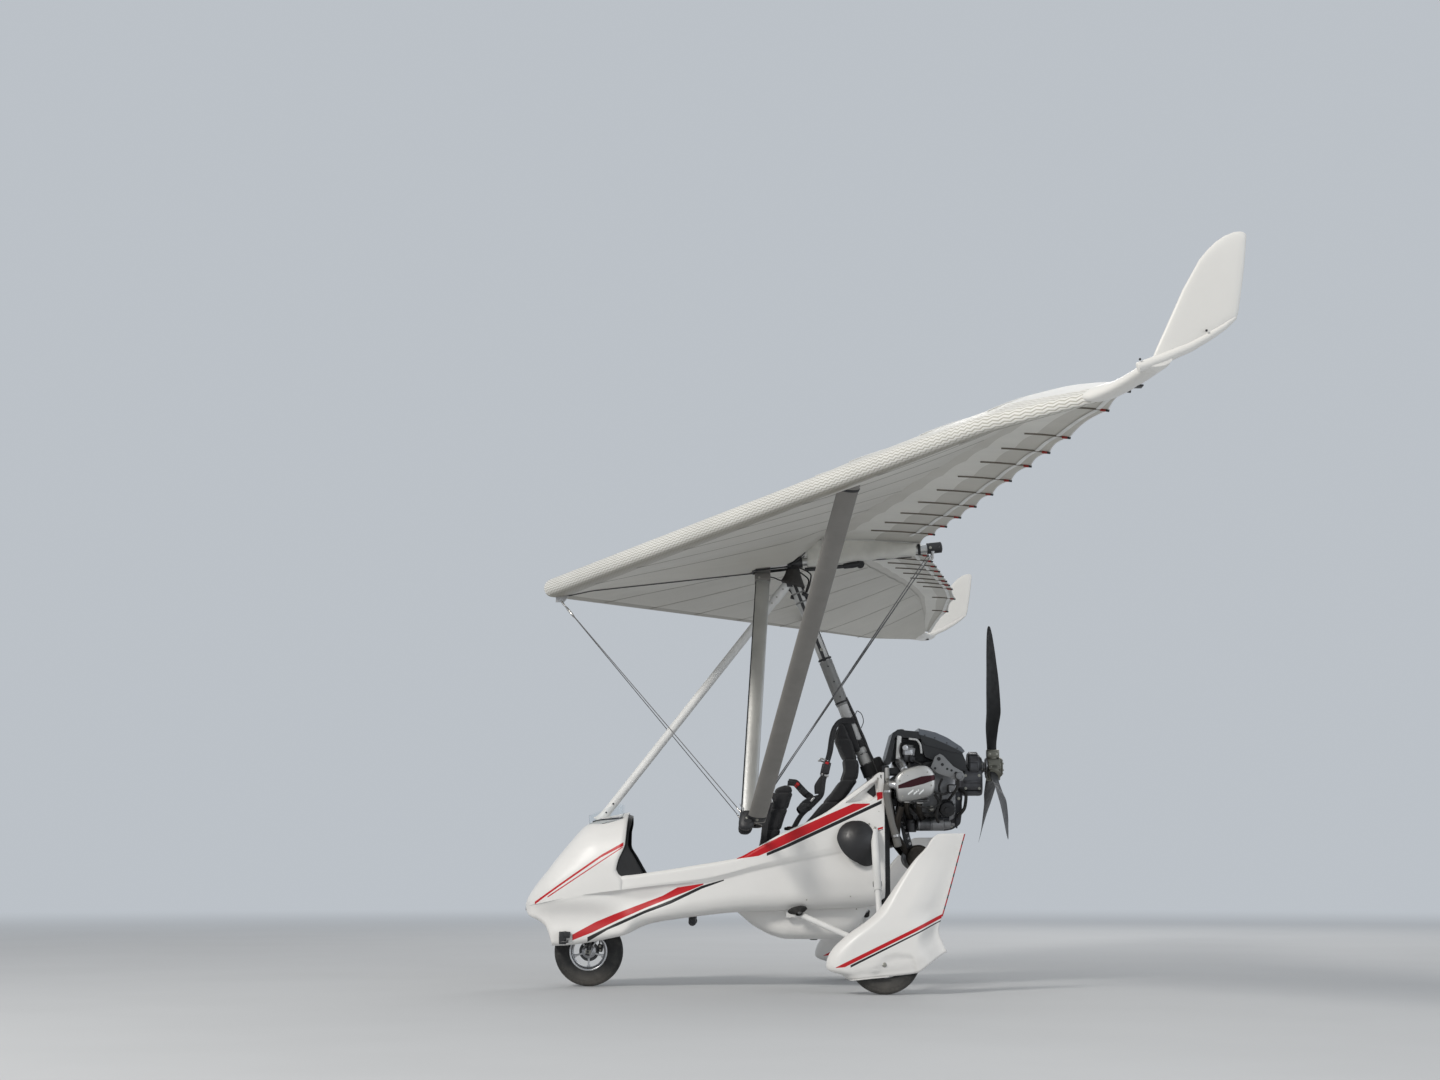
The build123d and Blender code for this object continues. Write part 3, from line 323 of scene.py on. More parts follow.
# Painted bands: colour, upper edge, lower edge
RED, BLACK = (0.50, 0.0, 0.006), (0.004, 0.004, 0.005)
POD_BANDS = (
    (RED, [(-1.291, .302), (-1.157, .374), (-1.053, .417), (-.774, .522), (-.687, .570), (-.538, .593)],
     [(-1.282, .273), (-1.177, .314), (-1.026, .386), (-.875, .452), (-.723, .512), (-.617, .553),
      (-.538, .586)]),
    (BLACK, [(-1.204, .288), (-1.087, .345), (-1.026, .373), (-.875, .440), (-.723, .499), (-.549, .579),
             (-.421, .615)],
     [(-1.169, .281), (-1.087, .330), (-1.026, .355), (-.875, .423), (-.723, .479), (-.549, .562),
      (-.421, .608)]),
    (RED, [(-.348, .734), (-.175, .822), (.013, .911), (.171, .981), (.32, 1.045), (.415, 1.046)],
     [(-.348, .731), (-.223, .748), (-.113, .794), (.092, .888), (.288, .981), (.415, 1.04)]),
    (BLACK, [(-.176, .765), (-.066, .812), (.17, .921), (.484, 1.065)],
     [(-.144, .761), (-.05, .799), (.178, .903), (.484, 1.045)]),
    (RED, [(.458, 1.11), (.49, 1.112)], [(.458, 1.063), (.49, 1.076)]),
    (RED, [(.413, .892), (.49, .915)], [(.413, .88), (.49, .903)]),
    (BLACK, [(.413, .877), (.49, .9)], [(.413, .874), (.49, .896)]),
    (RED, [(-1.514, .487), (-1.353, .599), (-1.127, .755), (-1.0, .827)],
     [(-1.509, .475), (-1.353, .586), (-1.127, .741), (-1.0, .806)]),
    (RED, [(-1.436, .519), (-1.003, .803)], [(-1.43, .515), (-1.003, .797)]),
)
SPAT_BANDS = (
    (RED, [(.187, .147), (.224, .166), (.772, .431)], [(.187, .144), (.236, .149), (.772, .411)]),
    (BLACK, [(.267, .16), (.772, .402)], [(.286, .156), (.772, .396)]),
)
HEAD_BANDS = (
    ((0.045, 0.008, 0.012), [(.575, 1.148), (.649, 1.178), (.708, 1.198), (.789, 1.208)],
     [(.575, 1.128), (.649, 1.137), (.719, 1.155), (.789, 1.180)]),
    ((0.95, 0.95, 0.93), [(.630, 1.102), (.662, 1.126)], [(.630, 1.091), (.662, 1.114)]),
    ((0.95, 0.95, 0.93), [(.663, 1.103), (.693, 1.127)], [(.663, 1.092), (.693, 1.115)]),
    ((0.95, 0.95, 0.93), [(.694, 1.104), (.721, 1.128)], [(.694, 1.093), (.721, 1.116)]),
)
pod_white = gelcoat("pod_white", POD_BANDS, dust=0.5)
spat_white = gelcoat("spat_white", SPAT_BANDS, dust=0.22)
plain_white = gelcoat("plain_white", dust=0.3)
winglet_skin = gelcoat("winglet_skin", colour=(0.78, 0.765, 0.73))
white_tube = painted("white_tube", (0.76, 0.76, 0.75), 0.5, dust=0.35, coat=0.0)
black_coat = painted("black_coat", (0.018, 0.018, 0.020), 0.38, chips=0.25)
sleeve_grey = painted("sleeve_grey", (0.22, 0.22, 0.215), 0.5)
strut_grey = painted("strut_grey", (0.215, 0.205, 0.19), 0.5, coat=0.0)
patch_grey = painted("patch_grey", (0.56, 0.56, 0.55), 0.5)
pipe_grey = painted("pipe_grey", (0.15, 0.145, 0.135), 0.45)
bracket_grey = painted("bracket_grey", (0.27, 0.275, 0.28), 0.4, chips=0.3)
wire = painted("stay_wire", (0.14, 0.14, 0.145), 0.6, coat=0.0)
silver_tube = metal("silver_tube", (0.62, 0.62, 0.61), 0.34, (60, 60, 1))
alloy = metal("alloy", (0.60, 0.60, 0.61), 0.32, stain=0.10)
cast = metal("cast", (0.30, 0.30, 0.305), 0.5, stain=0.4, grain=0.00003)
dark_cast = metal("dark_cast", (0.075, 0.075, 0.08), 0.5, stain=0.4, grain=0.00003)
gear_grey = metal("gear_grey", (0.11, 0.11, 0.115), 0.45, stain=0.3, grain=0.00003)
hub_metal = metal("hub_metal", (0.20, 0.195, 0.165), 0.45, stain=0.2)
steel = metal("steel", (0.52, 0.51, 0.50), 0.28)
disc_steel = metal("disc_steel", (0.10, 0.10, 0.10), 0.4)
zinc = metal("zinc", (0.42, 0.41, 0.36), 0.4)
exhaust_metal = metal("exhaust_metal", (0.050, 0.045, 0.040), 0.55, stain=0.5)
shell_inside = plastic("shell_inside", (0.10, 0.10, 0.105), 0.6, 60.0, 0.0004)
black_plastic = plastic("black_plastic", (0.020, 0.020, 0.022))
coaming_black = plastic("coaming_black", (0.010, 0.010, 0.011), 0.5, 400.0, 0.0001)
panel_black = plastic("panel_black", (0.030, 0.030, 0.032), 0.45, 300.0, 0.00005)
hood_plastic = plastic("hood_plastic", (0.028, 0.029, 0.031), 0.34, 500.0, 0.0001)
pan_grey = plastic("pan_grey", (0.055, 0.055, 0.058), 0.5, 120.0, 0.0002)
rubber = plastic("rubber", (0.022, 0.021, 0.020), 0.75, 300.0, 0.0002)
boot_rubber = plastic("boot_rubber", (0.040, 0.037, 0.034), 0.6, 200.0, 0.0001)
grip_foam = plastic("grip_foam", (0.022, 0.022, 0.024), 0.85, 500.0, 0.0003)
red_plastic = plastic("red_plastic", (0.50, 0.015, 0.02), 0.35)
tape_red = plastic("tape_red", (0.42, 0.012, 0.02), 0.5)
tip_red = plastic("tip_red", (0.28, 0.02, 0.012), 0.5)
dial_face = plastic("dial_face", (0.008, 0.008, 0.009), 0.6)
dial_mark = plastic("dial_mark", (0.75, 0.75, 0.72), 0.5)
webbing = woven("webbing", (0.016, 0.016, 0.018), 230.0, 0.00035, 0.7, 0.3)
seat_cloth = woven("seat_cloth", (0.013, 0.013, 0.015), 300.0, 0.0003, 0.85, 0.22)
seam_thread = woven("seam_thread", (0.30, 0.285, 0.25), 900.0, 0.0001, 0.8)
batten_brown = woven("batten_brown", (0.17, 0.15, 0.12), 900.0, 0.0001, 0.7)
pale_tape = woven("pale_tape", (0.78, 0.78, 0.75), 700.0, 0.0001, 0.6)
sail_pocket = woven("sail_pocket", (0.70, 0.69, 0.64), 420.0, 0.0002, 0.7)
zip_tape = woven("zip_tape", (0.10, 0.10, 0.10), 800.0, 0.0002)


def make_tyre_rubber():
    """Rubber with a dusty tread and scuffed walls."""
    paint = Paint("tyre", (0.018, 0.018, 0.018), 0.72)
    paint.vary(14.0, 0.3)
    paint.stained(26.0, 8.0, 0.45, 0.8, 0.35, (0.10, 0.095, 0.085))
    paint.dirt(0.12, amount=0.5)
    paint.grain(700.0, 0.00012)
    return paint.done()


def make_blade_composite():
    """Black composite with faint fibre bands."""
    paint = Paint("blade_composite", (0.008, 0.008, 0.009), 0.5)
    paint.vary(5.0, 0.3, (1, 6, 1))
    paint.uneven(30.0, 0.42, 0.58)
    return paint.done()


def make_sail_cloth(name, colour):
    """Woven polyester with soft creases."""
    paint = Paint(name, colour, 0.55, Sheen_Weight=0.15, Sheen_Roughness=0.4)
    paint.vary(1.4, 0.05)
    paint.vary(11.0, 0.03, (0.2, 1, 1))
    for direction in "XY":
        paint.threads(95.0, direction, 0.00010)
    paint.grain(3.5, 0.004, 3.0)
    return paint.done()


def make_sleeve_cloth():
    """The nose sleeve's glossy cloth: zigzag lines along the span, and painted shade along its lower edge."""
    paint = Paint("sail_sleeve", (0.80, 0.79, 0.75), 0.42, Coat_Weight=0.15, Coat_Roughness=0.3)
    spot = paint.node("SeparateXYZ", {0: paint.node("UVMap", uv_map="girth").outputs[0]})
    along, around = spot.outputs[0], spot.outputs[1]
    zigzag = paint.times(paint.math("PINGPONG", along, 0.024), 0.36)
    lines = paint.math("FRACT", paint.times(paint.math("ADD", around, zigzag), 60.0))
    ridge = paint.times(paint.ramp(lines, 0.0, 0.25), paint.ramp(lines, 0.62, 0.9, 1.0, 0.0))
    paint.tint(paint.times(paint.less(1.0, ridge), 0.8), (0.40, 0.38, 0.32))
    # Painted shade: the sleeve is darkened towards its lower edge, where it faces the ground.
    paint.tint(paint.ramp(around, 0.925, 0.975, 0.85, 0.0), (0.25, 0.225, 0.17))
    paint.vary(3.0, 0.06)
    paint.raise_by(paint.times(ridge, 0.0012))
    return paint.done()


def make_mast_paint():
    """Light grey paint with black strips down the mast's sides."""
    paint = Paint("mast_paint", (0.50, 0.50, 0.49), 0.32, Coat_Weight=0.2, Coat_Roughness=0.2)
    off = paint.off_line((HANG.x, HANG.z), (MAST_FOOT.x, MAST_FOOT.z))
    for low, high in ((-0.016, 0.004), (0.026, 0.05)):
        band = paint.times(paint.ramp(off, low - 0.001, low + 0.001),
                           paint.ramp(off, high - 0.001, high + 0.001, 1.0, 0.0))
        paint.tint(band, (0.018, 0.018, 0.02))
    paint.vary(8.0, 0.08)
    paint.uneven(20.0, 0.25, 0.42)
    return paint.done()


def make_upright_skin():
    """Anodised aluminium section with a dark leading edge strip."""
    paint = Paint("upright_metal", (0.60, 0.60, 0.585), 0.36, 0.85)
    off = paint.off_line((CORNER.x, CORNER.z), (UPRIGHT_HEAD.x, UPRIGHT_HEAD.z))
    paint.tint(paint.ramp(off, -0.0365, -0.0345, 1.0, 0.0), (0.025, 0.025, 0.027))
    paint.vary(7.0, 0.08)
    paint.uneven(26.0, 0.3, 0.45, (40, 40, 1))
    return paint.done()


def make_lid_paint():
    """Grey lid whose side laps turn black below a slanted line."""
    paint = Paint("lid_paint", (0.16, 0.175, 0.20), 0.3, Coat_Weight=0.3, Coat_Roughness=0.12)
    paint.vary(6.0, 0.08)
    slant = [(.700, 1.455), (.802, 1.424), (.881, 1.390), (.960, 1.350), (.99, 1.33)]
    line = paint.line(slant, (.69, 1.28), (1.0, 1.50))
    paint.tint(paint.ramp(paint.less(line, paint.part(2)), -0.0015, 0.0015), (0.020, 0.021, 0.023))
    return paint.done()


def make_head_metal():
    """Cast aluminium with a painted band, three pale slashes, and painted shade over its lower half."""
    paint = Paint("head_metal", (0.62, 0.615, 0.60), 0.33, 0.55)
    paint.vary(9.0, 0.12)
    # Painted shade: the cover is darkened below its middle height.
    paint.tint(paint.ramp(paint.part(2), 1.085, 1.155, 0.75, 0.0), (0.22, 0.22, 0.215))
    for shade, upper, lower in HEAD_BANDS:
        paint.tint(paint.band(upper, lower, 0.0008), shade)
    paint.uneven(25.0, 0.26, 0.44)
    paint.grain(240.0, 0.00004)
    return paint.done()


tyre_rubber, blade_composite = make_tyre_rubber(), make_blade_composite()
clear_screen = Paint("clear_screen", (0.93, 0.95, 0.96), 0.0, IOR=1.2, Transmission_Weight=1.0).done()
sail_top = make_sail_cloth("sail_top", (0.78, 0.78, 0.765))
# The underside cloth is white like the top skin; its darker, warm grey colour is painted shade.
sail_under_shaded = make_sail_cloth("sail_under_shaded", (0.56, 0.54, 0.485))
sail_pale = make_sail_cloth("sail_pale", (0.72, 0.705, 0.65))
sail_sleeve, mast_paint, upright_skin = make_sleeve_cloth(), make_mast_paint(), make_upright_skin()
lid_paint, head_metal = make_lid_paint(), make_head_metal()

CAD_FINISH = {
    white_tube: ["front_strut", "suspension_arms", "spring_struts"],
    black_coat: ["keel_beam", "engine_frame", "front_fork", "foot_bar", "hang_block"],
    gear_grey: ["gearbox"], cast: ["cylinders"], hub_metal: ["propeller_hub"], steel: ["nose_plate"],
    silver_tube: ["keel_tube", "base_bar"], strut_grey: ["lift_struts", "apex_bracket"],
    upright_skin: ["uprights"], mast_paint: ["mast"], sleeve_grey: ["mast_sleeve"],
    black_plastic: ["corner_fittings", "strut_covers", "keel_end"], hood_plastic: ["airbox"],
    lid_paint: ["airbox_lid"], exhaust_metal: ["exhaust"], pan_grey: ["seat_pan"],
    shell_inside: ["rear_bulkhead"], clear_screen: ["windscreen"], wire: ["stays"],
}
for material, names in CAD_FINISH.items():
    for name in names:
        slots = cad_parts[name].data.materials
        slots.clear()
        slots.append(material)


# Shapes

def square_to(axis, facing=AFT):
    """Two directions square to an axis, the first as near to `facing` as it goes."""
    along = Vector(axis).normalized()
    side = Vector(facing) - along * along.dot(Vector(facing))
    side = (side if side.length > 1e-6 else along.orthogonal()).normalized()
    return side, along.cross(side)


def eased(points, faces, width):
    """A solid with its edges rounded off."""
    bm = bmesh.new()
    corners = [bm.verts.new(p) for p in points]
    for face in faces:
        bm.faces.new([corners[i] for i in face])
    bmesh.ops.recalc_face_normals(bm, faces=bm.faces)
    sharp = [edge for edge in bm.edges if edge.calc_face_angle(0) > 0.5]
    bmesh.ops.bevel(bm, geom=sharp, offset=width, segments=2, profile=0.5, affect="EDGES", clamp_overlap=True)
    bm.verts.index_update()
    made = [v.co.copy() for v in bm.verts], [[v.index for v in face.verts] for face in bm.faces]
    bm.free()
    return made


def oval(middle, side, up, wide, deep, count):
    """A ring of points round a middle, `wide` along `side` and `deep` along `up`."""
    return [middle + side * (math.cos(a) * wide) + up * (math.sin(a) * deep) for a in turns(count)]


class Shape:
    """A mesh in the making: points, faces, and each face's material."""

    def __init__(self):
        self.points, self.faces, self.paints, self.order = [], [], [], []

    def add(self, points, faces, material):
        start = len(self.points)
        if material not in self.order:
            self.order.append(material)
        self.points += [Vector(p) for p in points]
        self.faces += [tuple(start + i for i in face) for face in faces]
        self.paints += [self.order.index(material)] * len(faces)

    def grid(self, rows, material, ring=False, keep=None, caps=()):
        """A skin over equal rows of points. keep says whether a face stays, caps which rows are closed."""
        across = len(rows[0])
        faces = []
        for i in range(len(rows) - 1):
            for j in range(across if ring else across - 1):
                k = (j + 1) % across
                if keep is None or keep(i, j):
                    faces.append((i * across + j, i * across + k, (i + 1) * across + k, (i + 1) * across + j))
        self.add([p for row in rows for p in row], faces, material)
        for cap in caps:
            self.add(rows[cap], [tuple(range(across))], material)

    def lathe(self, outline, origin, axis, material, sides=40):
        """Turn an outline of (distance along the axis, radius) about the axis."""
        along, origin = Vector(axis).normalized(), Vector(origin)
        side, up = square_to(along)
        turn = [side * math.cos(a) + up * math.sin(a) for a in turns(sides)]
        self.grid([[origin + along * s + way * r for way in turn] for s, r in outline], material, ring=True)

    def tube(self, path, radius, material, sides=14, flat=1.0, facing=UP, ends=True):
        """A bar along a path. Its section is `flat` times as deep across `facing`."""
        path = [Vector(p) for p in path]
        radii = list(radius) if isinstance(radius, (list, tuple)) else [radius] * len(path)
        if ends:
            lip = 0.25 * min(radii[0], radii[-1])
            first, last = (path[1] - path[0]).normalized() * lip, (path[-2] - path[-1]).normalized() * lip
            path = [path[0], path[0], path[0] + first] + path[1:-1] + [path[-1] + last, path[-1], path[-1]]
            radii = [0, radii[0] * 0.75, radii[0]] + radii[1:-1] + [radii[-1], radii[-1] * 0.75, 0]
        rows, side = [], None
        for i, point in enumerate(path):
            for reach in (1, 2):
                along = path[min(i + reach, len(path) - 1)] - path[max(i - reach, 0)]
                if along.length >= 1e-9:
                    break
            side = square_to(along, facing if side is None else side)[0]
            up = along.normalized().cross(side)
            rows.append([point + (side * math.cos(a) + up * (math.sin(a) * flat)) * radii[i]
                         for a in turns(sides)])
        self.grid(rows, material, ring=True)

    def hose(self, points, radius, material, sides=12):
        """A hose or pipe on a smooth line through a few points."""
        count = max(10, 6 * len(points))
        self.tube([along_line(points, t) for t in spread(count)], radius, material, sides)

    def strap(self, points, wide, facing=STARBOARD, thick=0.1):
        """Flat webbing on a smooth line."""
        line = [along_line(points, t) for t in spread(8 * len(points))]
        self.tube(line, wide / 2, webbing, 12, thick, facing=facing, ends=False)

    def plate(self, outline, origin, depth, material, ease=0.002, right=AFT, up=UP):
        """A plate: its outline in the plane of `right` and `up`, and its depth across that plane."""
        right, up = Vector(right).normalized(), Vector(up).normalized()
        away = right.cross(up) * depth
        low = [Vector(origin) + right * a + up * b - away / 2 for a, b in outline]
        count = len(low)
        faces = [tuple(range(count))[::-1], tuple(range(count, 2 * count))]
        faces += [(i, (i + 1) % count, count + (i + 1) % count, count + i) for i in range(count)]
        self.add(*eased(low + [p + away for p in low], faces, ease), material)

    def box(self, centre, size, material, ease=0.004, turn=(0, 0, 0)):
        """A block with rounded edges, turned by degrees about X, Y and Z."""
        way = Matrix.Identity(3)
        for axis, angle in zip("XYZ", turn):
            way = Matrix.Rotation(math.radians(angle), 3, axis) @ way
        x, y, z = (s / 2 for s in size)
        self.plate([(-x, -z), (x, -z), (x, z), (-x, z)], centre, 2 * y, material, ease, way @ Vector(AFT),
                   way @ Vector(UP))

    def bolt(self, place, axis, radius, material=zinc, washer=True):
        """A hexagon head with a chamfered top, on a washer."""
        if washer:
            self.lathe([(0, 0), (0, radius * 1.4), (radius * 0.22, radius * 1.35), (radius * 0.25, 0)], place,
                       axis, material, 20)
        tall = radius * 0.95
        self.lathe([(0, radius), (tall * 0.85, radius), (tall, radius * 0.82), (tall, 0)], place, axis,
                   material, 6)

    def side_bolt(self, x, y, z, radius, material=zinc, washer=True):
        """A bolt whose head faces the side that it is on."""
        self.bolt((x, y, z), (0, math.copysign(1, y), 0), radius, material, washer)

    def port(self):
        """Move everything to the port side."""
        self.points = [Vector((p.x, -p.y, p.z)) for p in self.points]
        self.faces = [face[::-1] for face in self.faces]
        return self

    def twin(self):
        """Add the port twin of everything so far."""
        start = len(self.points)
        self.points += [Vector((p.x, -p.y, p.z)) for p in self.points]
        self.faces += [tuple(start + i for i in face[::-1]) for face in self.faces]
        self.paints += self.paints
        return self

    def piece(self, name, body="root", replaces=(), angle=35, solid=True, slot=None):
        """Make the Blender object, hang it on a body and hide the CAD nodes that it stands for."""
        mesh = bpy.data.meshes.new(name)
        bm = bmesh.new()
        corners = [bm.verts.new(p) for p in self.points]
        for face, paint in zip(self.faces, self.paints):
            try:
                made = bm.faces.new([corners[i] for i in face])
            except ValueError:
                continue
            made.material_index = paint
        bmesh.ops.remove_doubles(bm, verts=bm.verts, dist=2e-5)
        bmesh.ops.dissolve_degenerate(bm, dist=1e-6, edges=bm.edges)
        if solid:
            bmesh.ops.recalc_face_normals(bm, faces=bm.faces)
        bm.to_mesh(mesh)
        bm.free()
        for material in self.order:
            mesh.materials.append(material)
        mesh.shade_smooth()
        mesh.set_sharp_from_angle(angle=math.radians(angle))
        made = bpy.data.objects.new(name, mesh)
        bpy.context.scene.collection.objects.link(made)
        if body:
            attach(made, body)
        if replaces:
            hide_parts(*replaces)
        return made


def reface(piece, middle_y=None, fill_above=None):
    """Make a skin's faces agree and face away from the plane at middle_y, if there is one.

    Open edges above the height fill_above are closed first.
    """
    bm = bmesh.new()
    bm.from_mesh(piece.data)
    if fill_above is not None:
        rim = [edge for edge in bm.edges if edge.is_boundary and min(v.co.z for v in edge.verts) > fill_above]
        bmesh.ops.holes_fill(bm, edges=rim, sides=400)
    bmesh.ops.recalc_face_normals(bm, faces=bm.faces)
    if middle_y is not None:
        outward = sum(f.normal.y * (f.calc_center_median().y - middle_y) * f.calc_area() for f in bm.faces)
        if outward < 0:
            bmesh.ops.reverse_faces(bm, faces=bm.faces)
    bm.to_mesh(piece.data)
    bm.free()


def applied(piece):
    """Apply a piece's modifiers."""
    view = bpy.context.evaluated_depsgraph_get()
    mesh = bpy.data.meshes.new_from_object(piece.evaluated_get(view))
    piece.modifiers.clear()
    old, piece.data = piece.data, mesh
    mesh.name = piece.name
    bpy.data.meshes.remove(old)


def thicken(piece, depth, inside):
    """Give a skin its wall, inwards, with another material inside."""
    piece.data.materials.append(inside)
    wall = piece.modifiers.new("wall", "SOLIDIFY")
    wall.thickness, wall.offset, wall.use_even_offset = depth, -1, False
    wall.material_offset = len(piece.data.materials) - 1
    if piece.vertex_groups:
        wall.vertex_group = piece.vertex_groups[0].name
    applied(piece)


# Wheels

TREAD_RIBS, SPOKES = 44, 5


def spoke_ways(k):
    """The direction of a spoke and the one across it, in the wheel's plane."""
    a = math.pi * (0.4 * k - 0.5)
    return Vector((math.cos(a), 0, math.sin(a))), Vector((-math.sin(a), 0, math.cos(a)))


def make_wheel(name, centre, body, inner):
    """A ribbed balloon tyre, and a spoked alloy rim with a brake disc on its inner side, 1 or -1."""
    tyre = Shape()
    outline = [(-0.036, 0.1015), (-0.041, 0.104), (-0.0455, 0.112), (-0.049, 0.130), (-0.05, 0.148),
               (-0.0485, 0.165), (-0.0475, 0.167), (-0.0455, 0.1765), (-0.040, 0.186), (-0.0385, 0.1835),
               (-0.0355, 0.1838), (-0.034, 0.1915), (-0.0255, 0.1955), (-0.0245, 0.1905), (-0.0215, 0.191),
               (-0.0205, 0.1972), (-0.0085, 0.1995), (-0.0078, 0.1945), (-0.0042, 0.195), (-0.0036, 0.2)]
    outline += [(-s, r) for s, r in outline[::-1]] + [(0.03, 0.099), (-0.03, 0.099), (-0.036, 0.1015)]
    tyre.lathe(outline, centre, STARBOARD, tyre_rubber, 112)
    rng = random.Random(4)
    for a in turns(TREAD_RIBS):
        way = Vector((math.cos(a), 0, math.sin(a)))
        for side in SIDES:
            rib = [centre + way * r + Vector((0, y * side, 0))
                   for r, y in ((0.1675, 0.0482), (0.1785, 0.0438), (0.1868, 0.0375))]
            tyre.tube(rib, 0.0022 + 0.0002 * rng.random(), tyre_rubber, 5, ends=False)
    tyre.piece(f"{body}_tyre", body, [f"{name}_tyre"], 25)
    rim = Shape()
    half = [(0.014, 0.088), (0.031, 0.0905), (0.034, 0.0955), (0.041, 0.0975), (0.0465, 0.1015),
            (0.0480, 0.1060), (0.0470, 0.1100), (0.0440, 0.1085), (0.0400, 0.1022), (0.036, 0.1014),
            (0.014, 0.0925)]
    rim.lathe(half + [(-s, r) for s, r in half[::-1]] + half[:1], centre, STARBOARD, alloy, 72)
    hub = [(0.042, 0.0102), (0.042, 0.0235), (0.040, 0.026), (0.022, 0.027), (0.013, 0.040)]
    rim.lathe([(-s, r) for s, r in hub] + hub[::-1] + [(-0.042, 0.0102)], centre, STARBOARD, alloy, 40)
    arm = [(0.030, -0.010), (0.045, -0.0055), (0.074, -0.0055), (0.0895, -0.013), (0.0895, 0.013),
           (0.074, 0.0055), (0.045, 0.0055), (0.030, 0.010)]
    for k in range(SPOKES):
        way, across = spoke_ways(k)
        rim.plate(arm, centre, 0.02, alloy, 0.003, way, across)
        rim.bolt(centre + way * 0.0335 + Vector((0, -0.0129 * inner, 0)), (0, -inner, 0), 0.004)
    disc_y = 0.0275 * inner
    low, high = disc_y - 0.002, disc_y + 0.002
    rim.lathe([(low, 0.040), (low, 0.058), (high, 0.058), (high, 0.040), (low, 0.040)], centre, STARBOARD,
              disc_steel, 48)
    for k in range(SPOKES):
        rim.plate([(0.024, -0.006), (0.042, -0.005), (0.042, 0.005), (0.024, 0.006)],
                  centre + Vector((0, disc_y, 0)), 0.004, disc_steel, 0.001, *spoke_ways(k))
    valve = [centre + Vector((x, y * inner, z))
             for x, y, z in ((-0.064, -0.026, 0.066), (-0.052, -0.034, 0.054))]
    rim.tube(valve, 0.0028, rubber, 8)
    rim.piece(f"{body}_rim", body, [f"{name}_rim"], 30)


make_wheel("front", FRONT_HUB, "front_wheel", 1)
make_wheel("left_rear", Vector((REAR_X, -WHEEL_Y, TYRE_RADIUS)), "left_rear_wheel", 1)
make_wheel("right_rear", Vector((REAR_X, WHEEL_Y, TYRE_RADIUS)), "right_rear_wheel", -1)


# Pod. The tables give a value at each x. COWL_END and COAMING_END give x instead, at a share of the
# girth and at a height

NOSE_X, COWL_X, REAR_END = -1.58, -1.003, 0.5
BELT_STEP, TOP_STEP = 5, 10
POD_WALL = 0.007
POD_FLOOR = [(-1.58, .455), (-1.572, .435), (-1.557, .412), (-1.489, .376), (-1.445, .338), (-1.428, .295),
             (-1.418, .245), (-1.405, .236), (-1.019, .291), (-.849, .361), (-.611, .399), (-.345, .427),
             (-.046, .437), (.426, .461), (.5, .508)]
POD_HALF = [(-1.58, 0), (-1.578, .03), (-1.57, .07), (-1.555, .11), (-1.53, .148), (-1.5, .178),
            (-1.418, .228), (-1.2, .260), (-1.019, .277), (-.611, .3135), (-.345, .33), (.426, .33),
            (.5, .325)]
POD_CORNER = [(-1.58, .004), (-1.5, .03), (-1.418, .035), (-1.1, .04), (-1.0, .042), (-.93, .085), (-.5, .10),
              (.35, .10), (.5, .09)]
POD_BELT = [(-1.58, .463), (-1.5, .480), (-1.4, .500), (-1.233, .530), (-1.026, .558), (-.821, .584),
            (-.549, .610), (-.215, .690), (.25, .783), (.5, .832)]
POD_RAIL = [(-1.05, .72), (-1.04, .68), (-1.025, .651), (-1.003, .638), (-.8, .662), (-.563, .699),
            (-.42, .722), (-.35, .735), (-.214, .807), (-.108, .867), (.153, .99), (.30, 1.096), (.42, 1.183),
            (.478, 1.225), (.5, 1.225)]
POD_RIDGE = [(-1.58, .472), (-1.567, .508), (-1.443, .681), (-1.328, .825), (-1.226, .931), (-1.153, .965),
             (-.972, 1.005)]
COWL_END = [(0, -1.003), (.12, -1.003), (.17, -1.018), (.25, -1.041), (.34, -1.032), (.5, -.992), (1, -.976)]
COAMING_END = [(.648, -.882), (.735, -.932), (.818, -.975), (.90, -.972), (.958, -.960), (1.01, -.955)]
CREASE = [(-1.225, .526), (-1.026, .553), (-.821, .579), (-.549, .602)]
VALLEY = [(-1.225, .525), (-1.079, .528), (-.988, .511), (-.912, .505), (-.836, .511), (-.76, .531),
          (-.685, .562), (-.60, .592), (-.549, .602)]
VALLEY_DEPTH = [(-1.225, 0), (-1.15, .010), (-.98, .029), (-.85, .029), (-.72, .014), (-.62, .004),
                (-.549, 0)]
SCALLOP = [(-1.3, 0), (-.95, 0), (-.7, .45), (-.5, 1), (-.2, 1), (.15, .5), (.35, .12), (.5, 0)]
RECESS = [(.270, 1.046), (.460, 1.185), (.470, 1.182), (.470, 1.088), (.405, 1.054)]


def inside_by(outline, x, z):
    """How far a place lies inside a convex outline, less than 0 outside."""
    middle = (sum(p[0] for p in outline) / len(outline), sum(p[1] for p in outline) / len(outline))
    least = 1.0
    for (x0, z0), (x1, z1) in zip(outline, outline[1:] + outline[:1]):
        nx, nz = z1 - z0, x0 - x1
        size = math.hypot(nx, nz)
        if (middle[0] - x0) * nx + (middle[1] - z0) * nz < 0:
            nx, nz = -nx, -nz
        least = min(least, ((x - x0) * nx + (z - z0) * nz) / size)
    return least


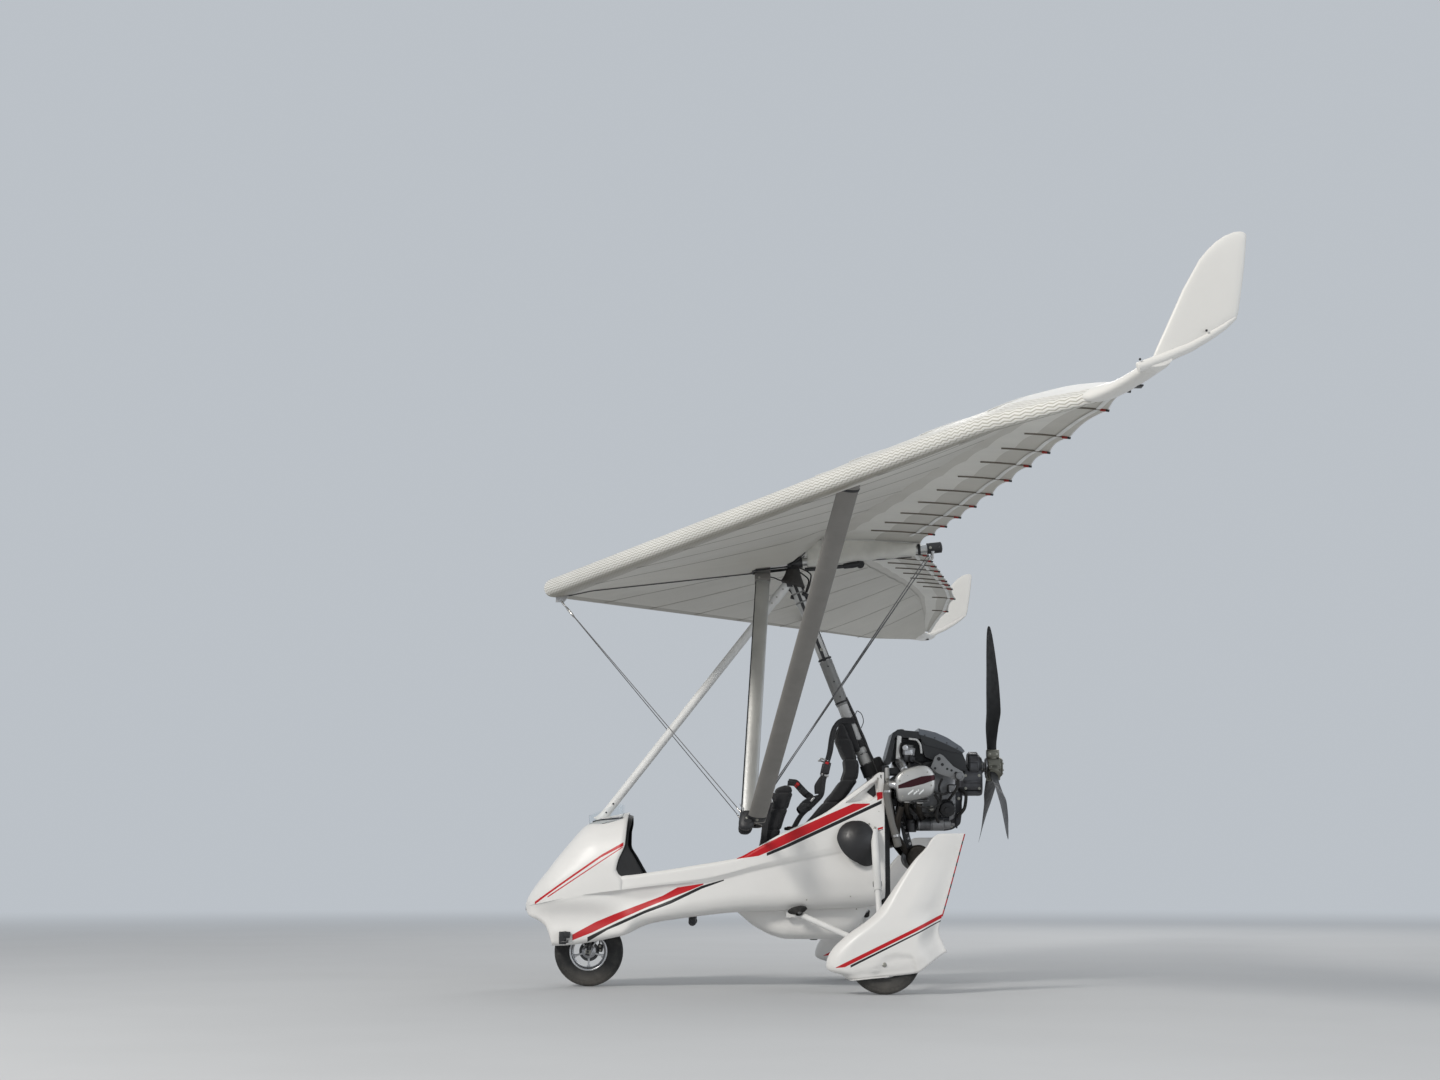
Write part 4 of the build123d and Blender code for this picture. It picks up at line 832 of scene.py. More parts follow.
def pod_section(x):
    """Half a pod section as a table, 0 at the floor's middle to 5 at the belt line; its width and belt."""
    floor, half, corner, belt, groove = (reading(t, x)
                                         for t in (POD_FLOOR, POD_HALF, POD_CORNER, POD_BELT, SCALLOP))
    corner = min(corner, half * 0.45, (belt - floor) * 0.45)
    low = half - 0.003 - 0.013 * groove
    rows = [(0, 0, floor), (1, (low - corner) * 0.6, floor), (2, low - corner * 0.95, floor + corner * 0.03),
            (3, low - corner * 0.29, floor + corner * 0.29), (4, low, floor + corner * 1.05),
            (4.6, low - 0.004 * groove, belt - 0.028), (5, half - 0.009 * groove - 0.0005, belt - 0.006)]
    return rows, half, belt


def valley(x, z):
    """How deep the side is scooped out: a sharp crease above, a soft valley, the wheel fairing's waist."""
    depth = 0.0
    if CREASE[0][0] < x < CREASE[-1][0]:
        top, low, most = (reading(t, x) for t in (CREASE, VALLEY, VALLEY_DEPTH))
        if z >= low:
            depth = most * np.clip((top - z) / max(top - low, 1e-4), 0, 1) ** 0.6
        else:
            depth = most * (1 - ease(0, 0.12, low - z))
    waist = ease(-1.56, -1.44, x) * ease(-0.93, -1.12, x)
    return depth + waist * (0.034 * ease(0.505, 0.40, z) - 0.013 * ease(0.385, 0.30, z))


def pod_lower(x, v):
    """The pod from the floor's middle, v 0, to the belt, v 5."""
    y, z = smooth_table(pod_section(x)[0], v)
    return y - ease(0.03, 0.16, y) * valley(x, z), z


def pod_side(x, v):
    """The cockpit side from the belt, v 5, to the inner lip, v 10."""
    rows, half, belt = pod_section(x)
    rail = reading(POD_RAIL, x)
    tall = rail - belt
    rows += [(5.6, half + 0.001, belt + 0.13 * tall), (6.6, half, belt + 0.42 * tall),
             (8, half - 0.002, belt + 0.78 * tall), (8.8, half - 0.008, rail - 0.008),
             (9.3, half - 0.02, rail), (9.7, half - 0.032, rail - 0.006), (10, half - 0.036, rail - 0.02)]
    y, z = smooth_table(rows, v)
    return y - 0.042 * ease(0, 0.009, inside_by(RECESS, x, z)), z


def cowl_point(x, v):
    """The nose cowl from the belt, v 5, to the ridge, v 10."""
    rows, half, belt = pod_section(x)
    tall = reading(POD_RIDGE, x) - belt
    rows += [(5.6, half + 0.0003, belt + 0.10 * tall)]
    rows += [(v, half * wide, belt + rise * tall) for v, wide, rise in (
        (6.6, 0.98, 0.34), (7.6, 0.86, 0.62), (8.6, 0.60, 0.86), (9.4, 0.27, 0.97), (10, 0, 1))]
    return smooth_table(rows, v)


def cowl_edge(v):
    """Where the cowl's rear edge is."""
    return reading(COWL_END, (v - BELT_STEP) / (TOP_STEP - BELT_STEP))


def cowl_height(x, y):
    """Height of the cowl's top at a place."""
    ys, zs = np.array([cowl_point(x, v) for v in spread(60, 6.5, TOP_STEP)])[::-1].T
    return float(np.interp(y, ys, zs))


def make_pod():
    """The pod's skin with its wall: lower body, cockpit sides and nose cowl, open over the front wheel."""
    long = COWL_X - NOSE_X
    nose = [NOSE_X + long * (1 - math.cos(math.pi / 2 * k / 34)) for k in range(35)]
    rear = list(spread(50, COWL_X, 0.22)[1:]) + list(spread(50, 0.22, REAR_END)[1:])
    low = list(spread(22, 0, 3.6)) + list(spread(34, 3.6, BELT_STEP)[1:])
    high = spread(60, BELT_STEP, TOP_STEP)
    lower = [[Vector((x, *pod_lower(x, v))) for v in low] for x in nose + rear]

    def closed(i, j):
        x, y, _ = lower[i][j]
        wheel_arch = -1.425 < x < -1.0 and y < 0.150 - 0.05 * ease(-1.08, -1.0, x)
        return not (wheel_arch or x > 0.40 and y < 0.05)

    shape = Shape()
    shape.grid(lower, pod_white, keep=closed)
    under = [[Vector((x, pod_side(x, v)[0] - 0.0015, pod_side(x, v)[1])) for v in high]
             for x in spread(12, -1.05, -1.006)]
    shape.grid(under + [[Vector((x, *pod_side(x, v))) for v in high] for x in nose[-1:] + rear], pod_white)
    cowl = []
    for x in nose:
        places = [(NOSE_X + (x - NOSE_X) * (cowl_edge(v) - NOSE_X) / long, v) for v in high]
        cowl.append([Vector((there, *cowl_point(there, v))) for there, v in places])
    shape.grid(cowl, pod_white)
    shape.twin()
    pod = shape.piece("pod_shell", "root", ["pod_tub", "nose_cowl", "cockpit_sides"], 40, solid=False)
    reface(pod, 0.0)
    group = pod.vertex_groups.new(name="wall")
    for v in pod.data.vertices:
        share = 1 - 0.85 * float(ease(-1.53, -1.575, v.co.x)) if v.co.x < -1.5 else 1.0
        group.add([v.index], share, "REPLACE")
    thicken(pod, POD_WALL, shell_inside)


def make_cockpit_front():
    """The black coaming behind the cowl, and the panel that closes it."""
    rows = []
    for v in spread(44, 5.85, TOP_STEP):
        edge = cowl_edge(v)
        y, z = cowl_point(edge, v)
        end = reading(COAMING_END, z)
        inwards = 1 if v < 9.4 else (10 - v) / .6
        row = []
        for share in spread(12):
            deep = 0.009 + 0.016 * share
            row.append(Vector((edge - 0.035 + (end - edge + 0.035) * share, max(0.0, y - deep * inwards),
                               z - deep * ease(7.0, 9.0, v))))
        rows.append(row)
    shape = Shape()
    shape.grid(rows, coaming_black)
    shape.twin()
    thicken(shape.piece("cockpit_coaming", "root", angle=50, solid=False), 0.004, coaming_black)
    panel = Shape()
    side = [cowl_point(-1.0, v) for v in spread(24, 6.95, TOP_STEP)]
    outline = [(max(0.0, y - 0.024), z - 0.022 * ease(.75, .95, z)) for y, z in side]
    outline = [(y, z) for y, z in outline if y > 0.004]
    outline = [(-y, z) for y, z in outline] + outline[::-1]
    panel.plate(outline, (-1.008, 0, 0), 0.012, panel_black, 0.002, STARBOARD, UP)
    panel.box((-1.006, 0, .772), (.022, .42, .020), coaming_black, .006)
    for y, z in ((-.19, .80), (.19, .80), (-.11, .965), (.11, .965), (0, .795)):
        panel.bolt((-1.002, y, z), AFT, .0032, zinc, False)
    panel.piece("panel_face", "root", ["instrument_panel"], 40)
    # Painted shade: black plates set deep in the triangular side recesses stand in for the shade inside them.
    recess_shade = Shape()
    recess_shade.plate([(.400, 1.112), (.448, 1.158), (.453, 1.098), (.440, 1.082)], (0, .289, 0), .006,
                coaming_black, .001)
    recess_shade.twin()
    recess_shade.piece("recess_shade_plates", "root", angle=40)


make_pod()
make_cockpit_front()


# Spats and belly

SPAT_FRONT = [(.243, .085), (.227, .103), (.162, .124), (.139, .140), (.137, .155), (.144, .191),
              (.175, .246), (.225, .295), (.275, .335), (.338, .378), (.394, .421), (.445, .476),
              (.476, .519), (.539, .609), (.628, .726), (.692, .794), (.724, .841), (.746, .858)]
SPAT_REAR = [(.796, .228), (.778, .27), (.756, .325), (.753, .345), (.763, .39), (.79, .48), (.826, .603),
             (.858, .715), (.882, .800), (.902, .868)]
SPAT_LOW = [(.243, .085), (.261, .080), (.385, .091), (.571, .109), (.627, .118), (.696, .164), (.764, .210),
            (.796, .228)]
SPAT_TOP = [(.746, .858), (.758, .864), (.774, .8665), (.83, .8675), (.902, .868)]
SPAT_DEEP = [(0, .080), (.30, .080), (.44, .070), (.62, .044), (.85, .019), (1, .010)]
DISH = [(.40, 0), (.41, .03), (.43, .062), (.47, .093), (.53, .103), (.60, .095), (.63, 0)]


def spat_point(s, t):
    """Coons patch between the spat's four edges: s from front to rear, t from the bottom to the fin's tip."""
    front, rear = along_line(SPAT_FRONT, t), along_line(SPAT_REAR, t)
    low, top = along_line(SPAT_LOW, s), along_line(SPAT_TOP, s)
    corners = ((1 - s) * (1 - t) * np.array(SPAT_FRONT[0]) + s * (1 - t) * np.array(SPAT_REAR[0])
               + (1 - s) * t * np.array(SPAT_FRONT[-1]) + s * t * np.array(SPAT_REAR[-1]))
    return (1 - s) * front + s * rear + (1 - t) * low + t * top - corners


def spat_width(s, t, x, z, chord, outer):
    """Half the spat's width at a place: round in front, thin behind, dished round the axle bolt outside."""
    half = reading(SPAT_DEEP, t)
    near = min(s * chord / min(half * 1.15, 0.09), 1.0)
    width = half * math.sqrt(max(0.0, 1 - (1 - near) ** 2))
    tail = ease(0, chord * (0.24 + 0.38 * ease(0.22, 0.5, t)), (1 - s) * chord)
    width = min(width, 0.003 + (half - 0.003) * tail) if s > 0.3 else width * min(1, 0.2 + tail)
    width *= 1 - 0.13 * ease(0.10, 0.0, t)
    edge = reading(DISH, x) if 0.40 < x < 0.63 else 0.0
    if outer and edge > 0:
        width -= 0.010 * ease(0, 0.014, edge + 0.115 - z)
    return width


def make_spat(name, node, port):
    """The wheel spat with its tail fin: a thin hollow shell, open below, and its bolt, tape and lip."""
    shares = ([(1 - math.cos(math.pi / 2 * k / 22)) * 0.55 for k in range(23)]
              + list(spread(30, 0.55, 1.0)[1:]))
    shape = Shape()
    for side in SIDES:
        rows = []
        for t in spread(64):
            front, rear = (Vector(spat_point(s, t)) for s in (0.0, 1.0))
            row = []
            for s in shares:
                x, z = spat_point(s, t)
                width = spat_width(s, t, x, z, (rear - front).length, side > 0)
                row.append(Vector((x, WHEEL_Y + side * width, z)))
            rows.append(row[::side])
        shape.grid(rows, spat_white)
    if port:
        shape.port()
    out = -1 if port else 1
    spat = shape.piece(name, "root", [node], 45)
    reface(spat, out * WHEEL_Y, fill_above=0.84)
    thicken(spat, 0.003, shell_inside)
    trim = Shape()
    centre = Vector((.451, out * (WHEEL_Y + 0.0665), .162))
    trim.lathe([(0, 0), (0, .0145), (.003, .0145), (.0045, .012), (.0045, 0)], centre, (0, out, 0), steel, 28)
    trim.bolt(centre + Vector((0, out * .004, 0)), (0, out, 0), .0085)
    edge = [Vector((x + .0015, out * WHEEL_Y, z))
            for x, z in (along_line(SPAT_REAR, t) for t in spread(24, .3, .995))]
    for k, ends in enumerate(zip(edge, edge[1:])):
        trim.tube(ends, .0042, black_plastic if k % 3 == 2 else tape_red, 8, ends=False)
    lip = [Vector((x, out * (WHEEL_Y + .068), z - .001))
           for x, z in (along_line(SPAT_LOW, s) for s in spread(16, .03, .40))]
    trim.tube(lip, [.002] + [.0065] * 14 + [.002], spat_white, 10, 0.5, STARBOARD)
    trim.piece(f"{name}_trim", "root", angle=40)


BELLY_LOW = [(-.344, .424), (-.245, .344), (-.133, .289), (-.058, .272), (.166, .270), (.27, .288),
             (.35, .335), (.405, .43)]
BELLY_HALF = [(-.344, .02), (-.30, .09), (-.2, .155), (-.05, .192), (.2, .2), (.33, .19), (.405, .15)]
BELLY_TOP = 0.462


def make_belly():
    """The fuel tank's fairing below the floor, its bolts and its drain cap."""
    rows = []
    for x in list(spread(26, -.344, -.05)) + list(spread(22, -.05, .405)[1:]):
        low, half = reading(BELLY_LOW, x), reading(BELLY_HALF, x)
        corner = min(0.075, (BELLY_TOP - low) * 0.6, half * 0.6)
        table = [(0, 0, low), (1, (half - corner) * .65, low + .002), (2, half - corner, low + .008),
                 (3, half - corner * .3, low + corner * .35), (4, half, low + corner),
                 (6, half + .002, BELLY_TOP)]
        rows.append(mirrored_row(x, [smooth_table(table, v) for v in spread(26, 0, 6)]))
    shape = Shape()
    shape.grid(rows, plain_white, caps=(-1,))
    shape.piece("belly_shell", "root", ["belly_fairing"], 50)
    bolts = Shape()
    for x, y, z in ((-.20, .12, .43), (0.0, .185, .446), (.2, .193, .446), (.34, .185, .446)):
        bolts.side_bolt(x, y, z, .005)
    bolts.lathe([(0, 0), (0, .022), (.004, .022), (.006, .018), (.006, 0)], (.1, 0, .271), (0, 0, -1),
                black_plastic, 24)
    bolts.twin()
    bolts.piece("belly_bolts")


def mirrored_row(x, half):
    """A cross section at x from its starboard half, given from the middle outwards."""
    return [Vector((x, -y, z)) for y, z in half[::-1]] + [Vector((x, y, z)) for y, z in half[1:]]


make_spat("left_spat_shell", "left_spat", True)
make_spat("right_spat_shell", "right_spat", False)
make_belly()


# Wing

# Columns: y, leading edge x, trailing edge x, nose height, crest above the chord line,
# underside at the nose and at the trailing edge, both from the keel line
WING = [(0, -1.5, .752, .124, .171, -.05, .038), (1.0, -.985, .92, .120, .166, -.062, .038),
        (2.9, -.006, 1.224, .110, .148, -.085, .072), (3.5, .303, 1.300, .098, .126, -.092, .066),
        (4.15, .637, 1.298, .084, .096, -.100, .028), (4.62, 1.070, 1.205, .056, .044, -.106, -.062)]
SAIL_TIP = 4.62
BATTENS = [.33, .60, .90, 1.22, 1.55, 1.90, 2.25, 2.56, 2.88, 3.50, 4.05]
LOWER_SEAMS = (.46, .98, 1.53, 2.10, 2.72, 3.36, 3.98)
CREST_SHARE, JOIN_SHARE = 0.33, 0.73
LOW_COUNT, NOSE_COUNT, TOP_COUNT = 44, 16, 64
SLOT = (-.25, .03)


def circle_z(p, q, r, x):
    """Height at x on the upper side of the circle through three points."""
    (x1, z1), (x2, z2), (x3, z3) = p, q, r
    d = 2 * (x1 * (z2 - z3) + x2 * (z3 - z1) + x3 * (z1 - z2))
    s1, s2, s3 = x1 * x1 + z1 * z1, x2 * x2 + z2 * z2, x3 * x3 + z3 * z3
    cx = (s1 * (z2 - z3) + s2 * (z3 - z1) + s3 * (z1 - z2)) / d
    cz = (s1 * (x3 - x2) + s2 * (x1 - x3) + s3 * (x2 - x1)) / d
    return cz + math.sqrt((x1 - cx) ** 2 + (z1 - cz) ** 2 - (x - cx) ** 2)


def wing_row(y):
    """Read the wing table between its rows in straight lines, as the ribs do."""
    table = np.array(WING)
    return [float(np.interp(y, table[:, 0], table[:, k])) for k in range(1, 7)]


def bay(y):
    """How far a place is into its bay between battens: 0 on a batten, 1 midway."""
    stops = [0.0] + BATTENS + [SAIL_TIP]
    for low, high in zip(stops, stops[1:]):
        if y <= high:
            return math.sin(math.pi * (y - low) / (high - low))
    return 0.0


class Rib:
    """One section of the sail at a place along the span."""

    def __init__(self, y):
        self.y = y
        self.lead, self.trail, self.tall, crest, under, tail = wing_row(y)
        self.chord = self.trail - self.lead
        self.start = self.lead + 0.5 * self.tall
        self.billow = bay(y)
        self.nose_z = keel_z(self.lead) + under
        self.high = (self.start, self.nose_z + self.tall)
        self.end = (self.trail, keel_z(self.trail) + tail + 0.006)
        self.crest = (self.at(CREST_SHARE), self.nose_z + CREST_SHARE * (self.end[1] - self.nose_z) + crest)
        self.join = self.at(JOIN_SHARE)
        self.trail_in = self.trail - 0.013 * self.billow

    def at(self, share):
        """The x at a share of the chord."""
        return self.lead + share * self.chord

    def top(self, x):
        """Height of the upper skin: the arc, bulging between battens towards the trailing edge."""
        z = circle_z(self.high, self.crest, self.end, min(x, self.trail))
        share = (x - self.lead) / self.chord
        return z + self.billow * (0.011 * ease(0.15, 0.9, share) - 0.002) - 0.003

    def floor(self, x):
        """Height of the lower skin, which the keel holds down near the middle."""
        share = (x - self.start) / (self.join - self.start)
        z = self.nose_z + (self.top(self.join) - 0.006 - self.nose_z) * share
        sag = 0.012 * math.sin(math.pi * min(1, max(0, share)))
        z -= sag * (0.5 + 0.5 * self.billow)
        held = keel_z(x) - 0.033
        pull = ease(0.75, 0.0, self.y) ** 1.6 * ease(0.0, -0.25, x - SLOT[1] - 0.15)
        return z + min(0.0, held - z) * pull

    def outline(self):
        """Points from the lower skin's rear edge, forward, round the nose and back to the trailing edge."""
        low = [(x, self.floor(x)) for x in self.join + (self.start - self.join) * spread(LOW_COUNT) ** 0.8]
        radius = 0.5 * self.tall
        nose = [(self.start - radius * math.sin(a), self.nose_z + radius - radius * math.cos(a))
                for a in spread(NOSE_COUNT + 2, 0, math.pi)[1:-1]]
        top = [(x, self.top(x))
               for x in self.start + (self.trail_in - self.start) * spread(TOP_COUNT) ** 1.25]
        points = np.array(low + nose + top)
        first, last = LOW_COUNT - 6, LOW_COUNT + NOSE_COUNT + 16
        for _ in range(10):
            mid = (points[first - 1:last - 1] + points[first + 1:last + 1]) / 2
            points[first:last] += 0.5 * (mid - points[first:last])
        return [Vector((x, self.y, z)) for x, z in points]


def span_places():
    """Places along the span: each batten, and five between."""
    stops = [0.0] + BATTENS + [4.44, SAIL_TIP]
    places = [y for low, high in zip(stops, stops[1:]) for y in spread(7, low, high)[:-1]]
    return places + [SAIL_TIP]


def girth(p):
    """Distance round the nose from its foremost line, for the sleeve's pattern."""
    lead, _, tall, _, under, _ = wing_row(abs(p.y))
    radius = 0.5 * tall
    off_x, off_z = p.x - lead - radius, p.z - keel_z(lead) - under - radius
    if off_x < 0:
        return 1.0 + radius * math.atan2(off_z, -off_x)
    return 1.0 + math.copysign(radius * math.pi / 2 + off_x, off_z)


def make_sail(name, node, port):
    """Half the sail: a double skin from the nose to the join and one skin with battens behind it."""
    ribs = [Rib(y) for y in span_places()]
    rows = [rib.outline() for rib in ribs]
    shape = Shape()

    def no_slot(i, j):
        p = rows[i][j]
        return not (SLOT[0] < p.x < SLOT[1] + 0.03 and p.y < 0.075)

    sleeve_low, sleeve_top = LOW_COUNT - 4, LOW_COUNT + NOSE_COUNT + 15
    # The lower skin takes the underside cloth, whose darker colour is painted shade.
    shape.grid([row[:sleeve_low + 1] for row in rows], sail_under_shaded, keep=no_slot)
    shape.grid([row[sleeve_low:sleeve_top + 1] for row in rows], sail_sleeve)
    shape.grid([row[sleeve_top:] for row in rows], sail_top)
    rear = []
    for rib in ribs:
        start = rib.join - 0.03
        xs = start + (rib.trail_in - rib.join + 0.03) * spread(22)
        rear.append([Vector((x, rib.y, rib.top(x) - 0.0035)) for x in xs])
    # The single skin's underside: the same cloth as its top, darker as painted shade.
    shape.grid(rear, sail_under_shaded, keep=lambda i, j: not 4 < j < 12)
    shape.grid(rear, sail_pale, keep=lambda i, j: 4 < j < 12)
    shape.grid([[row[-1], line[-1]] for row, line in zip(rows, rear)], sail_under_shaded)
    shape.add(rows[-1], [tuple(range(len(rows[-1])))], sail_sleeve)
    if port:
        shape.port()
    sail = shape.piece(name, "wing", [node], 50, solid=False)
    uv = sail.data.uv_layers.new(name="girth")
    for loop in sail.data.loops:
        p = sail.data.vertices[loop.vertex_index].co
        uv.data[loop.index].uv = (abs(p.y) * 1.127, girth(p))
    reface(sail)


def make_battens():
    """Batten pockets above and below the single skin, undersurface seams, tips and the trailing edge cord."""
    shape = Shape()
    for y in BATTENS:
        rib = Rib(y)
        xs = rib.at(0.16) + 0.84 * rib.chord * spread(30)
        shape.tube([(x, y, rib.top(x) + 0.0012) for x in xs], 0.0085, sail_top, 8, 0.35, STARBOARD)
        xs = rib.join + (rib.trail - rib.join) * (0.36 + 0.64 * spread(14))
        shape.tube([(x, y, rib.top(x) - 0.0062) for x in xs], 0.0050, batten_brown, 8, 0.9, STARBOARD)
        way = Vector((1, 0, -0.12)).normalized()
        tip = Vector((rib.trail - 0.03, y, rib.top(rib.trail) - 0.0035))
        shape.tube([tip - way * 0.008, tip + way * 0.018], 0.0068, tip_red, 10)
        shape.tube([tip + way * 0.017, tip + way * 0.034], 0.0062, black_plastic, 10)
    for y in LOWER_SEAMS:
        rib = Rib(y)
        xs = rib.at(0.05) + (JOIN_SHARE - 0.05) * rib.chord * spread(24)
        shape.tube([(x, y, rib.floor(x) - 0.0006) for x in xs], 0.0045, seam_thread, 6, 0.3, STARBOARD,
                   ends=False)
    ribs = [Rib(y) for y in span_places() if y > 0.12]
    shape.tube([(r.join - 0.01, r.y, r.top(r.join - 0.01) - 0.0085) for r in ribs], 0.0055, sail_under_shaded, 6,
               0.5, AFT)
    shape.tube([(r.trail_in - 0.002, r.y, r.top(r.trail_in) - 0.0018) for r in ribs], 0.0035, sail_top, 8)
    shape.tube([(r.at(0.955), r.y, r.top(r.at(0.955)) - 0.006) for r in ribs], 0.012, pale_tape, 6, 0.2, AFT,
               ends=False)
    shape.twin()
    shape.piece("battens", "wing", angle=60)


def make_keel_trim():
    """The keel pocket, the zip below it, the slot's binding and the nose plate's cover."""
    shape = Shape()
    middle = Rib(0.0)
    rows = []
    for x in spread(36, 0.075, 0.722):
        keel, high = keel_z(x), middle.top(x) - 0.012
        wide = 0.034 + 0.0015 * math.sin(x * 55)
        low = keel - 0.034 + 0.004 * math.sin(x * 40)
        table = [(0, 0, low), (1, wide * .7, low + .006), (2, wide, keel), (3, wide * .8, keel + .035),
                 (4, .014, min(high, keel + .085)), (5, .012, high)]
        rows.append(mirrored_row(x, [smooth_table(table, v) for v in spread(16, 0, 5)]))
    shape.grid(rows, sail_pocket, caps=(-1,))
    zip_line = [(x, 0, middle.floor(x) - 0.002) for x in spread(60, -1.40, SLOT[0])]
    shape.tube(zip_line, 0.008, zip_tape, 8, 0.3, STARBOARD)
    shape.tube([(x, y, z - 0.0025) for x, y, z in zip_line], 0.0022, black_plastic, 6)
    rim = [(SLOT[0], 0, middle.floor(SLOT[0]))]
    rim += [(x, .075, Rib(.075).floor(x) - .001) for x in spread(14, SLOT[0], SLOT[1] + .03)]
    for side in SIDES:
        shape.tube([(x, y * side, z) for x, y, z in rim], .0045, black_plastic, 8)
    shape.box((-1.362, 0, 2.293), (.07, .022, .014), black_plastic, .003)
    shape.piece("keel_trim", "wing", angle=50)


WINGLET = [(1.205, -.062), (1.235, .006), (1.266, .068), (1.338, .216), (1.405, .327), (1.438, .362),
           (1.471, .390), (1.505, .409), (1.540, .419), (1.562, .419), (1.574, .416), (1.584, .408),
           (1.587, .400), (1.579, .318), (1.568, .235), (1.546, .106), (1.539, .084), (1.482, .051),
           (1.425, .021), (1.38, -.006), (1.33, -.03), (1.27, -.055)]
WINGLET_MIDDLE, WINGLET_Y = (1.43, .19), 4.985
# The fin's rounded edge: share of the outline, half the thickness
WINGLET_RINGS = ((1, 0), (.985, .0045), (.95, .0075), (.88, .0098), (.75, .0108), (.55, .011), (.3, .011),
                 (.08, .011))
# Columns: y, x of the middle, height above the keel line, half the length and half the height
TIP_FAIRING = [(4.57, 1.05, -.070, .034, .020), (4.595, 1.076, -.072, .054, .032),
               (4.62, 1.10, -.074, .062, .034), (4.74, 1.150, -.077, .058, .030),
               (4.86, 1.185, -.074, .053, .029), (4.95, 1.215, -.066, .052, .028),
               (4.99, 1.235, -.060, .050, .026), (5.0, 1.245, -.054, .044, .018)]


def scaled(outline, middle, share):
    """An outline shrunk towards a middle."""
    return [(middle[0] + (x - middle[0]) * share, middle[1] + (z - middle[1]) * share) for x, z in outline]


def make_winglets():
    """A cambered fin with a rounded edge, on a fairing that wraps the leading edge's tip."""
    shape = Shape()
    for side in SIDES:
        rows = [[Vector((x, WINGLET_Y + side * deep, keel_z(x) + z))
                 for x, z in scaled(WINGLET, WINGLET_MIDDLE, share)]
                for share, deep in WINGLET_RINGS]
        shape.grid(rows, winglet_skin, ring=True, caps=(-1,))
    rows = []
    for place in spread(32, TIP_FAIRING[0][0], TIP_FAIRING[-1][0]):
        x, rise, long, high = smooth_table(TIP_FAIRING, place)
        rows.append([Vector((x + long * math.cos(a), place, keel_z(x) + rise + high * math.sin(a)
                             + 0.2 * long * math.cos(a))) for a in turns(28)])
    shape.grid(rows, winglet_skin, ring=True, caps=(0, -1))
    low = [(1.16, -.066), (1.26, -.040), (1.36, -.008), (1.43, .024), (1.49, .056), (1.535, .088)]
    shape.tube([(x, WINGLET_Y, keel_z(x) + z) for x, z in low], [.020, .021, .0185, .016, .013, .008],
               winglet_skin, 16)
    for x, z in ((1.167, -.038), (1.42, .045)):
        shape.side_bolt(x, 5.001, keel_z(x) + z, .005, black_plastic, False)
    shape.box((1.197, 4.80, keel_z(1.197) - .101), (.03, .05, .006), black_plastic, .002)
    shape.twin()
    shape.piece("winglet_fins", "wing", ["winglets"], 35)


make_sail("left_sail_skin", "left_sail", True)
make_sail("right_sail_skin", "right_sail", False)
make_battens()
make_keel_trim()
make_winglets()


# Engine. What both sides share is built on the starboard side and twinned

HEAD_OUTLINE = [(.561, 1.147), (.560, 1.176), (.574, 1.208), (.612, 1.236), (.662, 1.253), (.705, 1.261),
                (.735, 1.260), (.766, 1.240), (.789, 1.195), (.789, 1.153), (.776, 1.104), (.750, 1.082),
                (.718, 1.072), (.66, 1.060), (.59, 1.053), (.573, 1.070), (.566, 1.110)]
HEAD_MIDDLE, HEAD_FACE = (.675, 1.16), .3772
# The crowned cover: share of the outline, y
HEAD_RINGS = ((1.0, .300), (1.0, .352), (.985, .366), (.955, .376), (.90, .3805), (.7, .3825), (.35, .3838),
              (.06, .384))


def make_heads():
    """Cast head covers, crowned, with four recessed bolts."""
    closed = HEAD_OUTLINE + HEAD_OUTLINE[:1]
    line = [along_line(closed, s) for s in spread(73)[:-1]]
    shape = Shape()
    shape.grid([[Vector((x, y, z)) for x, z in scaled(line, HEAD_MIDDLE, share)] for share, y in HEAD_RINGS],
               head_metal, ring=True, caps=(0, -1))
    for x, z in ((.585, 1.172), (.743, 1.222), (.765, 1.147), (.60, 1.085)):
        shape.lathe([(0, 0), (0, .013), (.003, .013), (.003, .009), (.0005, .0085), (.0005, 0)],
                    (x, HEAD_FACE, z), STARBOARD, head_metal, 24)
        shape.side_bolt(x, HEAD_FACE, z, .0055, zinc, False)
    shape.twin()
    shape.piece("head_covers_cast", "root", ["head_covers"], 40)


